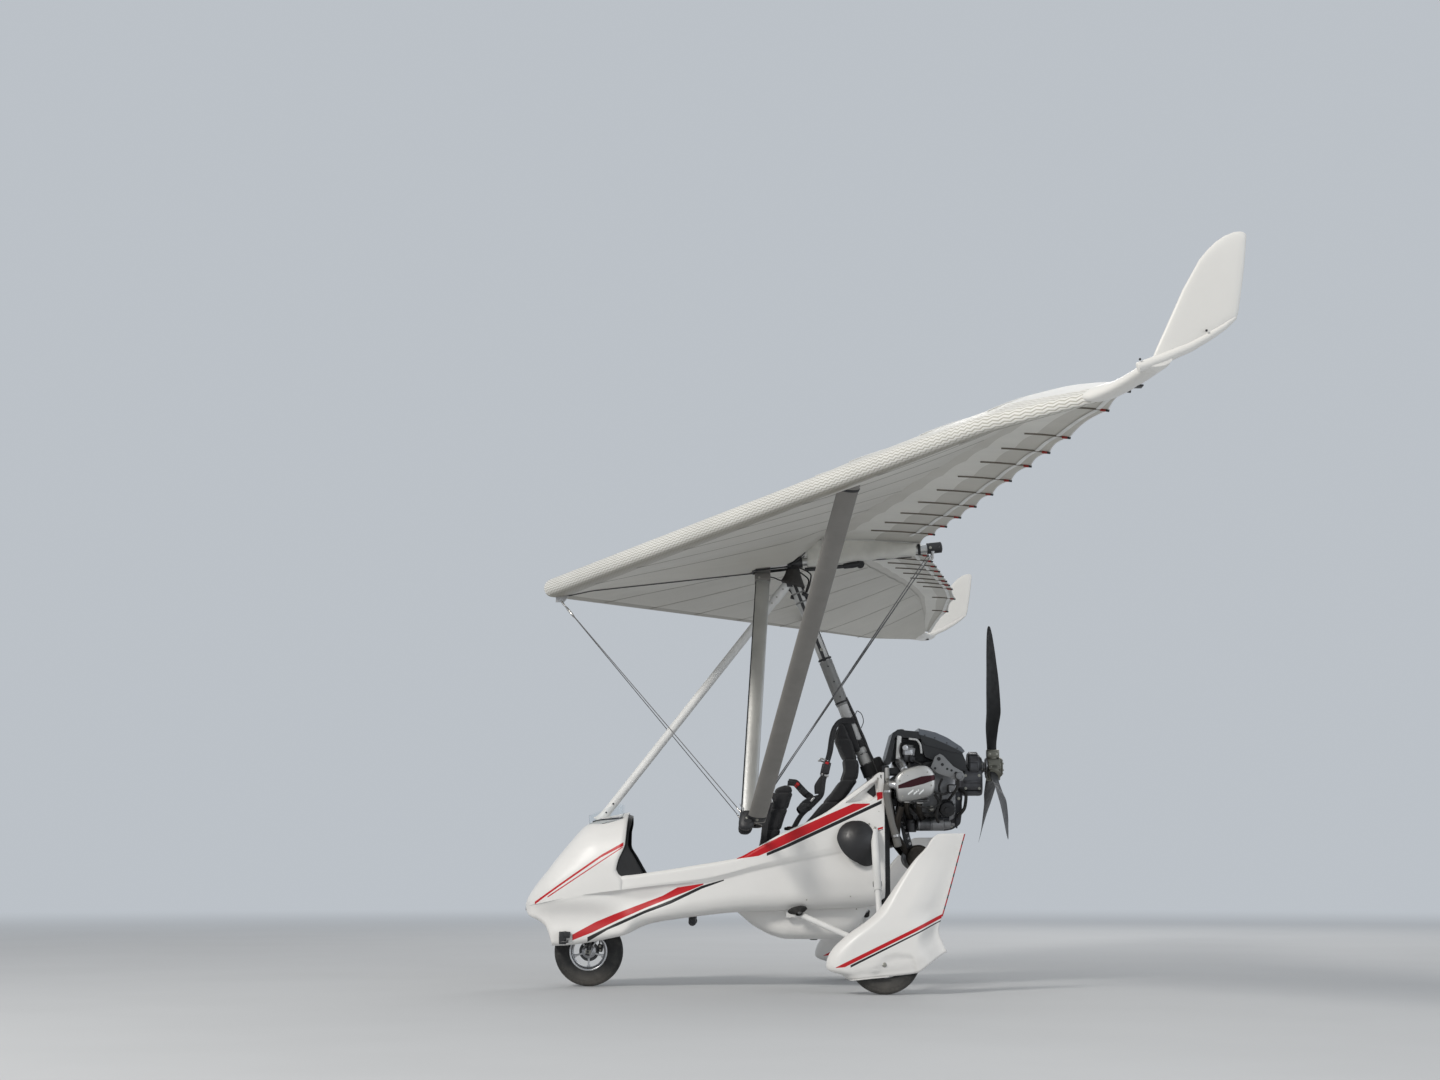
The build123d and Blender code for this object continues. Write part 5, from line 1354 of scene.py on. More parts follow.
def make_cylinder_details():
    """The fins, the intake and exhaust pipes, hoses and plug caps round each cylinder."""
    shape = Shape()
    for k in range(9):
        shape.box((.676, .222, 1.062 + k * 0.0175), (.176 - .01 * abs(k - 4) / 4, .128, .0042), cast, .0012)
    shape.box((.676, .222, 1.132), (.150, .155, .135), dark_cast, .012)
    shape.lathe([(0, .028), (.012, .03), (.02, .024), (.05, .022), (.055, 0)], (.573, .345, 1.150),
                (-1, 0, .1), alloy, 24)
    shape.lathe([(0, .0245), (.012, .0245)], (.516, .341, 1.12), (.05, 0, -1), steel, 20)
    shape.lathe([(0, .0255), (.014, .0255)], (.56, .312, .87), (.18, -.05, -1), steel, 20)
    shape.tube([(.531, .15, .985), (.529, .15, 1.258)], .0135, white_tube, 16)
    for z in (1.19, 1.04):
        shape.side_bolt(.531, .168, z, .006)
    for x, z in ((.628, 1.06), (.70, 1.055)):
        shape.hose([(x, .335, z), (x - .004, .33, z - .03), (x + .006, .28, z - .07), (x + .03, .2, z - .09)],
                   .017, exhaust_metal, 14)
        shape.lathe([(0, .024), (.006, .024)], (x, .336, z), (0, -.2, -1), steel, 20)
    for radius, material, sides, points in (
            (.0225, pipe_grey, 16, [(.535, .345, 1.155), (.520, .343, 1.15), (.513, .338, 1.11),
                                    (.522, .33, 1.04), (.541, .32, .95), (.560, .31, .87), (.577, .30, .80)]),
            (.024, alloy, 16, [(.62, .30, 1.235), (.61, .26, 1.262), (.60, .20, 1.285), (.60, .14, 1.30)]),
            (.010, rubber, 12, [(.72, .30, 1.245), (.74, .25, 1.272), (.79, .18, 1.285)]),
            (.007, rubber, 10, [(.765, .352, 1.12), (.80, .345, 1.105), (.84, .30, 1.10), (.87, .22, 1.11)]),
            (.0055, rubber, 10, [(.66, .33, 1.05), (.70, .345, 1.03), (.76, .33, 1.02), (.83, .28, 1.05)])):
        shape.hose(points, radius, material, sides)
    for x in (.642, .705):
        shape.lathe([(0, .009), (.014, .009), (.02, .006), (.03, .006), (.032, 0)], (x, .335, 1.247),
                    (0, .35, 1), rubber, 16)
    shape.twin()
    shape.piece("cylinder_details", angle=40)


CASE_OUTLINE = [(.622, 1.02), (.64, .94), (.70, .897), (.90, .897), (.955, .93), (.965, 1.0), (.965, 1.27),
                (.93, 1.296), (.66, 1.296), (.622, 1.26)]
BRACKET = [(.775, 1.255), (.800, 1.318), (.828, 1.335), (.850, 1.322), (.905, 1.262), (.958, 1.232),
           (.972, 1.205), (.958, 1.180), (.930, 1.176), (.868, 1.204), (.812, 1.222)]
STARTER = (.696, -.20, .928)


def add_case_sides(shape):
    """The crankcase's stepped flanges, ribs, bolts, water pump, bracket and hoses, on the starboard side."""
    for wide, high, x, y, material in ((.97, .95, .008, .111, dark_cast), (.80, .78, .02, .122, cast)):
        flange = [(.675 + (px - .675) * wide, 1.10 + (pz - 1.10) * high) for px, pz in CASE_OUTLINE]
        shape.plate(flange, (x, y, 0), .02, material, .006)
    for k in range(6):
        shape.box((.70 + k * .046, .134, .945), (.008, .012, .075), dark_cast, .002)
    for x, z in ((.65, .99), (.65, 1.235), (.70, .92), (.80, .915), (.90, .92), (.945, .99), (.945, 1.08),
                 (.945, 1.24), (.83, 1.275)):
        shape.side_bolt(x, .127, z, .0065)
    shape.lathe([(0, 0), (0, .040), (.012, .046), (.075, .046), (.088, .040), (.092, .018), (.10, .017),
                 (.10, 0)], (.87, .132, 1.035), (0, 1, -.25), black_plastic, 36)
    for a in turns(14):
        shape.box((.87 + .0455 * math.cos(a), .185, 1.023 + .0455 * math.sin(a)), (.006, .05, .006),
                  black_plastic, .002)
    shape.plate(BRACKET, (0, .236, 0), .006, bracket_grey, .0015)
    for x, z, r in ((.822, 1.305, .011), (.842, 1.272, .009), (.87, 1.247, .007), (.895, 1.238, .007),
                    (.92, 1.222, .009), (.948, 1.203, .010), (.80, 1.25, .007)):
        shape.lathe([(0, 0), (0, r), (.0012, r)], (x, .2392, z), STARBOARD, black_plastic, 20)
    shape.lathe([(0, 0), (0, .022), (.04, .022), (.044, .018), (.044, 0)], (.935, .24, 1.205), STARBOARD,
                cast, 28)
    shape.tube([(.828, .2, 1.31), (.828, .14, 1.29)], .008, steel, 10)
    shape.tube([(.80, .2, 1.24), (.80, .13, 1.22)], .008, steel, 10)
    for radius, points in (
            (.0085, [(.93, .262, 1.19), (.925, .275, 1.15), (.90, .25, 1.10), (.88, .19, 1.07)]),
            (.0065, [(.84, .23, 1.19), (.82, .25, 1.14), (.83, .25, 1.08), (.80, .2, 1.0), (.76, .17, .96)]),
            (.0085, [(.79, .3, 1.10), (.815, .29, 1.05), (.80, .26, .99), (.82, .22, .93)]),
            (.0075, [(.60, .17, 1.20), (.585, .2, 1.12), (.59, .2, 1.02), (.625, .18, .93)]),
            (.011, [(.66, .2, 1.04), (.69, .25, 1.00), (.74, .25, .985), (.80, .2, .98)]),
            (.010, [(.95, .12, 1.14), (.985, .15, 1.10), (.975, .17, 1.03), (.93, .17, .97)])):
        shape.hose(points, radius, rubber)
    shape.box((.905, .176, 1.135), (.062, .05, .05), black_plastic, .006)
    shape.box((.905, .204, 1.135), (.05, .008, .038), cast, .003)
    for k in range(3):
        shape.side_bolt(.889 + .016 * k, .206, 1.118, .0042, alloy, False)
    shape.lathe([(0, 0), (0, .018), (.03, .018), (.034, .012), (.05, .012), (.05, 0)], (.78, .145, 1.02),
                STARBOARD, zinc, 24)


def make_crankcase():
    """The crankcase with what is bolted to both sides, and the port side's starter, oil filter and bolts."""
    shape = Shape()
    shape.plate(CASE_OUTLINE, (0, 0, 0), .236, dark_cast, .016)
    add_case_sides(shape)
    shape.twin()
    shape.lathe([(0, 0), (0, .030), (.004, .034), (.075, .034), (.078, .030), (.082, .030), (.085, .034),
                 (.15, .034), (.155, .026), (.19, .024), (.195, .010), (.215, .010), (.217, 0)], STARTER, AFT,
                cast, 40)
    for k in range(9):
        shape.lathe([(0, .0348), (.0018, .0362), (.0036, .0348)],
                    Vector(STARTER) + Vector((.016 + k * .0068, 0, 0)), AFT, dark_cast, 40)
    shape.box((.83, -.168, .955), (.10, .04, .03), dark_cast, .006)
    shape.lathe([(0, 0), (0, .030), (.05, .030), (.055, .024), (.07, .024), (.07, 0)], (.66, -.195, .885), UP,
                black_plastic, 32)
    for k in range(7):
        shape.bolt((.598 + .009 * k, -.165 - .004 * k, 1.005 - .031 * k), (-.3, -1, 0), .0058, alloy)
    shape.plate([(.580, 1.03), (.615, 1.03), (.672, .80), (.660, .765), (.632, .765)], (0, -.155, 0), .008,
                black_coat, .002)
    shape.piece("crankcase_cast", "root", ["crankcase"], 40)


def make_intake():
    """What shows through the hood's window, and the hood's lid screws."""
    shape = Shape()
    shape.lathe([(0, 0), (0, .030), (.008, .034), (.05, .034), (.055, .028), (.075, .028), (.08, .032),
                 (.10, .032), (.10, 0)], (.648, .125, 1.298), (.1, .25, 1), cast, 36)
    shape.box((.655, .150, 1.352), (.072, .055, .052), cast, .008, (0, 8, 0))
    shape.box((.652, .180, 1.345), (.046, .014, .034), alloy, .004)
    shape.lathe([(0, 0), (0, .016), (.012, .016), (.014, .010), (.014, 0)], (.632, .186, 1.372), STARBOARD,
                alloy, 24)
    shape.lathe([(0, 0), (0, .020), (.010, .022), (.022, .016), (.022, 0)], (.672, .182, 1.305), STARBOARD,
                dark_cast, 28)
    shape.box((.596, .166, 1.375), (.026, .014, .135), white_tube, .004, (0, 4, 0))
    shape.hose([(.672, .20, 1.30), (.70, .205, 1.285), (.725, .19, 1.262), (.735, .16, 1.24)], .0055, rubber)
    shape.hose([(.655, .172, 1.425), (.70, .176, 1.418), (.722, .176, 1.385), (.728, .17, 1.34)], .006,
               white_tube)
    shape.hose([(.61, .17, 1.40), (.602, .19, 1.35), (.615, .195, 1.29), (.60, .2, 1.24)], .0048, rubber)
    for x, z in ((.748, 1.445), (.806, 1.430), (.876, 1.400), (.935, 1.370)):
        shape.side_bolt(x, .1762, z, .004, black_plastic, False)
    shape.twin()
    shape.lathe([(0, 0), (0, .020), (.005, .024), (.012, .024), (.016, .018), (.016, 0)], (.62, 0, 1.474),
                (-.1, 0, 1), black_plastic, 32)
    shape.piece("intake_details", angle=40)


GEAR_AXIS = (1.043, 0, 1.268)
GEAR_FACE = 1.0905


def make_gearbox():
    """The gearbox's bolts and ribs, its round flange with ten lugs, and the shaft's collar."""
    shape = Shape()
    for x, z in ((.990, 1.14), (.990, 1.215), (1.070, 1.215), (1.070, 1.14)):
        shape.side_bolt(x, .0902, z, .006)
    shape.box((1.03, .084, 1.178), (.10, .02, .018), gear_grey, .004)
    shape.box((1.03, .084, 1.118), (.10, .02, .012), gear_grey, .004)
    shape.twin()
    for k in range(10):
        a = 2 * math.pi * (k + .5) / 10
        way = Vector((0, math.cos(a), math.sin(a)))
        shape.bolt(Vector((GEAR_FACE, 0, GEAR_AXIS[2])) + way * .050, AFT, .005)
        shape.box(Vector(GEAR_AXIS) + way * .084, (.05, .008, .010), gear_grey, .002,
                  (math.degrees(a) - 90, 0, 0))
    for x in (1.0205, 1.0625):
        shape.lathe([(0, .082), (0, .0862), (.003, .0872), (.006, .0862), (.006, .082)], (x, 0, GEAR_AXIS[2]),
                    AFT, gear_grey, 64)
    shape.lathe([(0, .030), (0, .042), (.006, .042), (.009, .036), (.012, .034), (.012, .030)],
                (GEAR_FACE, 0, GEAR_AXIS[2]), AFT, cast, 48)
    shape.piece("gearbox_details", angle=40)


make_heads()
make_cylinder_details()
make_crankcase()
make_intake()
make_gearbox()


# Propeller

# Columns: distance from the shaft, chord, thickness, pitch in degrees, shift aft
BLADE = [(.048, .058, .044, 55, -.006), (.118, .065, .033, 50, -.009), (.226, .099, .024, 41, -.005),
         (.330, .130, .0150, 34, .006), (.496, .140, .0105, 25.5, .003), (.631, .130, .0080, 19.5, -.003),
         (.766, .0915, .0056, 16.5, -.010), (.805, .066, .0046, 15.7, -.0122),
         (.824, .046, .0036, 15.4, -.0132), (.8325, .024, .0026, 15.1, -.0138),
         (.8348, .006, .0014, 15, -.014)]
BLADE_COUNT = 3
# How far ahead of the hub's middle the blade clamps sit, taken away from its place
CLAMP = Vector((.004, 0, 0))


def blade_section(r):
    """A blade's section at a radius, as distances along the chord and above it: an oval, then a foil."""
    chord, thick, _, _ = smooth_table(BLADE, r)
    oval_share = ease(.20, .09, r)
    top, low = [], []
    for k in spread(15):
        s = (1 - math.cos(math.pi * k)) / 2
        foil = 1.8 * (0.2969 * math.sqrt(s) - 0.126 * s - 0.3516 * s ** 2 + 0.2843 * s ** 3 - 0.1036 * s ** 4)
        oval = math.sqrt(max(0.0, s * (1 - s)))
        height = thick * (foil * (1 - oval_share) * 1.3 + oval * oval_share)
        top.append(((s - 0.5) * chord, height * (1.25 - .25 * oval_share)))
        low.append(((s - 0.5) * chord, -height * (0.55 + .45 * oval_share)))
    return top + low[-2:0:-1]


def add_blade(shape, angle):
    """One twisted composite blade with a rounded tip, in its split clamp."""
    turn = Matrix.Rotation(math.radians(angle), 3, "X")
    rows = []
    for r in list(spread(44, .048, .77)) + list(spread(18, .77, .8348)[1:]):
        _, _, pitch, aft = smooth_table(BLADE, r)
        sin, cos = math.sin(math.radians(pitch)), math.cos(math.radians(pitch))
        rows.append([PROPELLER + turn @ Vector((c * sin - h * cos + aft, -c * cos - h * sin, r))
                     for c, h in blade_section(r)])
    shape.grid(rows, blade_composite, ring=True, caps=(0, -1))
    way, side = turn @ Vector(UP), turn @ Vector(STARBOARD)
    shape.lathe([(.040, 0), (.040, .0365), (.052, .0385), (.060, .0385), (.064, .0365), (.086, .0365),
                 (.090, .0385), (.098, .0385), (.102, .034), (.102, .0)], PROPELLER - CLAMP, way, hub_metal,
                40)
    for dy in SIDES:
        for dx in SIDES:
            shape.bolt(PROPELLER - CLAMP + way * .075 + side * (.040 * dy) + Vector((.020 * dx, 0, 0)),
                       side * dy, .005)
        shape.box(PROPELLER - CLAMP + way * .074 + side * (.033 * dy), (.070, .014, .038), hub_metal, .004,
                  (angle, 0, 0))


def make_propeller():
    """Three blades, and the hub's plates with their bolts."""
    shape = Shape()
    for k in range(BLADE_COUNT):
        add_blade(shape, 360 / BLADE_COUNT * k)
    shape.lathe([(.036, 0), (.036, .050), (.040, .053), (.046, .053), (.050, .048), (.052, .030),
                 (.054, .018), (.054, 0)], PROPELLER, AFT, hub_metal, 48)
    shape.lathe([(-.036, 0), (-.036, .050), (-.041, .053), (-.048, .053), (-.051, .045), (-.053, .030),
                 (-.0605, .029), (-.0605, 0)], PROPELLER, AFT, cast, 48)
    for k in range(6):
        a = math.pi * (k + .5) / 3
        way = Vector((0, math.cos(a), math.sin(a)))
        shape.bolt(PROPELLER + Vector((.0515, 0, 0)) + way * .038, AFT, .005)
        shape.bolt(PROPELLER - Vector((.0495, 0, 0)) + way * .040, (-1, 0, 0), .0045)
    shape.piece("propeller_set", "propeller", ["propeller_blades"], 45)


make_propeller()


# Seats: padded cloth, puffed up by a short simulation

PUFF_STEPS = 20
# Depth and half width of a quilted channel
CHANNEL = 0.006


def read_points(mesh, kind="co"):
    """The places, or the normals, of a mesh's points as rows of three numbers."""
    points = np.zeros(len(mesh.vertices) * 3)
    mesh.vertices.foreach_get(kind, points)
    return points.reshape(-1, 3)


def puff(pad, most, voxel=0.0072):
    """Remesh a pad, blow it up with cloth pressure, hold back how far it moves, and smooth it."""
    remesh = pad.modifiers.new("remesh", "REMESH")
    remesh.mode, remesh.voxel_size = "VOXEL", voxel
    applied(pad)
    rest = read_points(pad.data)
    cloth = pad.modifiers.new("cloth", "CLOTH")
    cloth.settings.quality = 4
    cloth.settings.use_pressure = True
    cloth.settings.uniform_pressure_force = 4.0
    cloth.settings.effector_weights.gravity = 0.0
    scene = bpy.context.scene
    for step in range(1, PUFF_STEPS + 1):
        scene.frame_set(step)
    held = pad.evaluated_get(bpy.context.evaluated_depsgraph_get())
    moved = read_points(held.data) - rest
    far = np.linalg.norm(moved, axis=1, keepdims=True)
    moved *= np.minimum(1.0, most / np.maximum(far, 1e-9))
    pad.modifiers.clear()
    scene.frame_set(1)
    rest = rest + moved
    pad.data.vertices.foreach_set("co", rest.ravel())
    finer = pad.modifiers.new("finer", "SUBSURF")
    finer.levels = finer.render_levels = 1
    applied(pad)
    pad.data.shade_smooth()


def make_pad(name, node, outline, half, top_half, most, channels):
    """A seat pad from its side outline: tapered, puffed, then quilted across at each channel."""
    shape = Shape()
    shape.plate(outline, (0, 0, 0), 2 * half, seat_cloth, 0.018)
    low, high = min(z for _, z in outline), max(z for _, z in outline)
    for p in shape.points:
        p.y *= 1 + (top_half / half - 1) * (p.z - low) / (high - low)
    pad = shape.piece(name, "root", [node], 80, slot="seat")
    puff(pad, most)
    points, normals = read_points(pad.data), read_points(pad.data, "normal")
    for axis, place in channels:
        line = points[:, "xyz".index(axis)]
        off = (np.abs(line) if axis == "y" else line) - place
        points -= normals * (CHANNEL * np.exp(-(off / CHANNEL) ** 2))[:, None]
    wrinkle = np.sin(points[:, 0] * 61 + points[:, 1] * 23) * np.sin(points[:, 1] * 47 - points[:, 2] * 38)
    points += normals * (0.0016 * wrinkle)[:, None]
    pad.data.vertices.foreach_set("co", points.ravel())
    pad.data.update()


FRONT_CUSHION = [(-.690, .596), (-.272, .596), (-.272, .658), (-.595, .662), (-.680, .645)]
FRONT_BACK = [(-.246, .64), (-.183, .905), (-.112, 1.138), (-.060, 1.168), (-.016, 1.152), (-.100, .91),
              (-.172, .64)]
REAR_CUSHION = [(-.10, .818), (.050, .818), (.048, .872), (-.088, .872)]
REAR_BACK = [(.070, .835), (.060, .930), (.208, 1.102), (.270, 1.182), (.297, 1.253), (.284, 1.322),
             (.248, 1.402), (.231, 1.450), (.247, 1.512), (.265, 1.527), (.322, 1.405), (.362, 1.265),
             (.354, 1.193), (.306, 1.124), (.132, .908), (.122, .835)]
make_pad("front_seat_pad", "front_seat_cushion", FRONT_CUSHION, .176, .176, .010,
         [("y", .095), ("x", -.42), ("x", -.56)])
make_pad("front_back_pad", "front_seat_back", FRONT_BACK, .180, .150, .010,
         [("y", .10), ("z", .78), ("z", .90), ("z", 1.02), ("z", 1.115)])
make_pad("rear_seat_pad", "rear_seat_cushion", REAR_CUSHION, .172, .172, .008, [("y", .09)])
make_pad("rear_back_pad", "rear_seat_back", REAR_BACK, .190, .115, .009,
         [("y", .085), ("z", 1.06), ("z", 1.19), ("z", 1.31), ("z", 1.43)])


def add_rear_shoulder(shape):
    """The rear seat's starboard shoulder belt with its adjuster and the loose end."""
    y = .105
    shape.strap([(.345, y * .6, 1.535), (.285, y * .85, 1.538), (.238, y, 1.512), (.217, y * 1.05, 1.45),
                 (.203, y * 1.1, 1.36), (.178, y * 1.15, 1.27), (.160, y * 1.2, 1.18), (.150, y * 1.25, 1.11),
                 (.105, y * 1.3, 1.055), (.03, y * 1.45, .985), (-.02, y * 1.6, .90)], .036, (1, -.25, .35),
                .16)
    shape.box((.176, y * 1.16, 1.258), (.044, .020, .070), black_plastic, .005, (0, 13, 0))
    shape.box((.180, y * 1.17, 1.286), (.022, .022, .016), red_plastic, .004, (0, 13, 0))
    shape.tube([(.188, y * 1.16, 1.298), (.150, y * 1.18, 1.312), (.136, y * 1.18, 1.310)], .005, steel, 10)
    shape.box((.168, y * 1.16, 1.215), (.042, .016, .014), steel, .003, (0, 13, 0))
    shape.strap([(.172, y * 1.18, 1.225), (.146, y * 1.22, 1.19), (.128, y * 1.25, 1.155),
                 (.130, y * 1.25, 1.115)], .030, (1, 0, .3), .16)
    shape.strap([(.135, y * 1.3, 1.09), (.085, y * 1.34, 1.075), (.045, y * 1.4, 1.055),
                 (.032, y * 1.42, 1.035), (.055, y * 1.42, 1.020), (.085, y * 1.4, 1.030)], .028, (.4, 0, 1),
                .2)


def add_front_shoulder(shape):
    """The front seat's starboard shoulder belt with its buckle, adjuster and side strap."""
    y = .13
    shape.strap([(-.045, y, 1.180), (-.006, y, 1.176), (.022, y, 1.150), (.058, y, 1.112), (.085, y, 1.092),
                 (.098, y * 1.05, 1.068), (.080, y * 1.1, 1.044), (.045, y * 1.2, 1.040),
                 (.022, y * 1.25, 1.028), (.035, y * 1.3, 1.010), (.062, y * 1.3, 1.018)], .030, (.7, 0, 1),
                .3)
    shape.box((.008, y, 1.163), (.021, .024, .018), red_plastic, .004, (0, 40, 0))
    shape.box((.046, y, 1.124), (.050, .026, .030), black_plastic, .005, (0, 44, 0))
    shape.box((.093, y, 1.074), (.014, .030, .034), steel, .003, (0, 40, 0))
    shape.strap([(-.13, y * 1.45, 1.11), (-.150, y * 1.47, 1.07), (-.163, y * 1.48, 1.03),
                 (-.178, y * 1.45, .95), (-.196, y * 1.42, .80), (-.215, y * 1.42, .68)], .032, (1, 0, .3),
                .16)
    shape.box((-.148, y * 1.475, 1.072), (.014, .040, .040), steel, .003, (0, -20, 0))
    shape.box((-.172, y * 1.485, 1.022), (.012, .038, .026), black_plastic, .003, (0, -20, 0))


def make_belts():
    """Shoulder and lap belts of both seats, with buckles and adjusters."""
    shape = Shape()
    add_rear_shoulder(shape)
    add_front_shoulder(shape)
    shape.twin()
    for side in SIDES:
        for points in ([(-.235, .19, .62), (-.28, .155, .672), (-.36, .09, .690), (-.40, .02, .692)],
                       [(.045, .185, .85), (.01, .14, .888), (-.02, .08, .900), (-.035, .02, .902)]):
            shape.strap([(x, y * side, z) for x, y, z in points], .044, (.6, 1, 0))
    for x, z in ((-.405, .699), (-.038, .908)):
        shape.box((x, 0, z), (.062, .07, .018), black_plastic, .006)
        shape.box((x, 0, z + .0105), (.030, .034, .006), red_plastic, .0025)
    shape.piece("belts", angle=50, slot="seat")


make_belts()


# Mast, hang point and wing fittings

MAST_WAY = (MAST_FOOT - HANG).normalized()
MAST_BACK = Vector((MAST_WAY.z, 0, -MAST_WAY.x)) * -1
# Columns: height, length along the mast, radius, material
MAST_WRAPS = ((1.905, .012, .0415, black_plastic), (1.650, .012, .0415, black_plastic),
              (1.600, .096, .0358, patch_grey), (1.535, .038, .0415, webbing),
              (1.470, .094, .0358, patch_grey), (1.402, .044, .0415, webbing),
              (1.363, .034, .0362, patch_grey), (1.314, .058, .0366, patch_grey),
              (1.250, .075, .0425, webbing))
# Columns: height on the mast, distance behind it
BACK_STRAP = ((1.665, .030), (1.60, .034), (1.55, .038), (1.49, .037), (1.42, .040), (1.35, .039),
              (1.27, .046), (1.20, .058))
STRAP_LOOP = ((1.56, .048), (1.575, .066), (1.55, .083), (1.51, .078), (1.48, .052))
BAG_OUTLINE = [(.250, 1.512), (.258, 1.540), (.285, 1.548), (.320, 1.545), (.352, 1.45), (.380, 1.36),
               (.345, 1.352), (.318, 1.41)]


def mast_at(z):
    """Place on the mast's middle line at a height."""
    return HANG + (MAST_FOOT - HANG) * ((HANG.z - z) / (HANG.z - MAST_FOOT.z))


def bolt_pair(shape, place, out, radius, material=zinc, washer=True):
    """A bolt on each side of a place."""
    for side in SIDES:
        shape.bolt(place + Vector((0, out * side, 0)), (0, side, 0), radius, material, washer)


def make_mast_trim():
    """Sleeve edges, pale patches and black wraps on the mast, the strap behind it and the bag below."""
    shape = Shape()
    edge = .003
    for z, tall, radius, material in MAST_WRAPS:
        half = tall / 2
        shape.lathe([(-half, .0335), (-half, radius - edge), (-half + edge, radius), (half - edge, radius),
                     (half, radius - edge), (half, .0335)], mast_at(z), MAST_WAY, material, 40)
    shape.strap([mast_at(z) + MAST_BACK * off for z, off in BACK_STRAP], .056, thick=.42)
    shape.strap([mast_at(z) + MAST_BACK * off for z, off in STRAP_LOOP], .016, thick=.3)
    shape.plate(BAG_OUTLINE, (0, 0, 0), .13, webbing, .010)
    shape.box(mast_at(1.24) + MAST_BACK * .066, (.055, .10, .13), webbing, .016, (0, -21, 0))
    shape.box(mast_at(1.17) + MAST_BACK * .030, (.05, .13, .10), webbing, .018, (0, -21, 0))
    for z in (2.18, 1.96, 1.10):
        bolt_pair(shape, mast_at(z), .033, .0065)
    for z in (1.86, 1.77, 1.68):
        bolt_pair(shape, mast_at(z), .0385, .0045, black_plastic, False)
    shape.tube([mast_at(2.272) + Vector((-.030, 0, 0)), mast_at(2.275) + Vector((-.058, 0, .004))], .012,
               black_plastic, 16)
    shape.lathe([(0, .0335), (0, .038), (.016, .038), (.016, .0335)], mast_at(2.285), MAST_WAY, black_plastic,
                32)
    shape.piece("mast_trim", angle=40)


BOOT_TOP, BOOT_X = 2.443, -.010
# Columns: distance below the top, half length, half width
BOOT = ((0, .040, .030), (.012, .043, .034), (.030, .047, .038), (.050, .055, .044), (.068, .063, .050),
        (.080, .069, .054), (.088, .0715, .056), (.094, .070, .055), (.099, .064, .050), (.101, .050, .040),
        (.100, .036, .032))


def make_hang_boot():
    """The rubber boot from the mast head to the hang block, with two ribs."""
    shape = Shape()
    rows = []
    for s, wide, deep in BOOT:
        slope = -.28 * min(1, s / .08)
        rows.append([(BOOT_X + wide * math.cos(a), deep * math.sin(a),
                      BOOT_TOP - s + slope * wide * math.cos(a) + .0012 * math.sin(7 * a) * s / .1)
                     for a in turns(48)])
    shape.grid(rows, boot_rubber, ring=True)
    for s in (.034, .058):
        wide, deep, drop = .0485 + .35 * (s - .034), .039 + .25 * (s - .034), .28 * s / .08 * .05
        shape.tube([(BOOT_X + wide * math.cos(a), deep * math.sin(a), BOOT_TOP - s - drop * math.cos(a))
                    for a in spread(41, 0, 2 * math.pi)], .0022, boot_rubber, 8, ends=False)
    boot = shape.piece("hang_boot", None, angle=50)
    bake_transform(boot)


def make_mast_head():
    """The mast head's sockets and side plates, and the cables that run over it."""
    shape = Shape()
    strut = (STRUT_FOOT - STRUT_HEAD).normalized()
    shape.lathe([(.0, 0), (.0, .0275), (.004, .0290), (.134, .0290), (.138, .0275), (.140, .0250)],
                STRUT_HEAD, strut, white_tube, 40)
    shape.lathe([(.0, 0), (.0, .037), (.003, .0385), (.134, .0385), (.140, .036), (.140, .033)], HANG,
                MAST_WAY, mast_paint, 40)
    shape.plate([(-.062, 2.372), (.020, 2.372), (.040, 2.300), (.012, 2.262), (-.050, 2.330)], (0, 0, 0),
                .012, black_coat, .003)
    for side in SIDES:
        shape.plate([(-.058, 2.385), (.026, 2.385), (.030, 2.335), (-.046, 2.335)], (0, .030 * side, 0), .006,
                    black_coat, .002)
    bolt_pair(shape, Vector((0, 0, 2.362)), .034, .009)
    for s in (.05, .11):
        bolt_pair(shape, STRUT_HEAD + strut * s, .0285, .005, zinc, False)
    for s in (.060, .118):
        shape.lathe([(0, .0385), (.002, .0402), (.008, .0402), (.010, .0385)], HANG + MAST_WAY * s, MAST_WAY,
                    sleeve_grey, 40)
    shape.piece("mast_head_fitting", "root", ["mast_head"], 40)
    lines = Shape()
    lines.hose([(-.145, -.029, 2.394), (-.120, -.030, 2.388), (-.098, -.032, 2.377), (-.078, -.034, 2.372)],
               .0035, black_plastic, 8)
    lines.hose([(-.02, .036, 2.46), (.045, .055, 2.425), (.085, .045, 2.38), (.072, .038, 2.33),
                (.060, .036, 2.285)], .0045, rubber, 10)
    lines.hose([(-.02, -.036, 2.46), (.052, -.055, 2.435), (.096, -.045, 2.40), (.088, -.038, 2.35),
                (.070, -.036, 2.30)], .0045, rubber, 10)
    lines.box((.066, 0, 2.286), (.05, .084, .022), black_plastic, .004, (0, 22, 0))
    lines.piece("hang_cables")


make_mast_trim()
make_hang_boot()
make_mast_head()


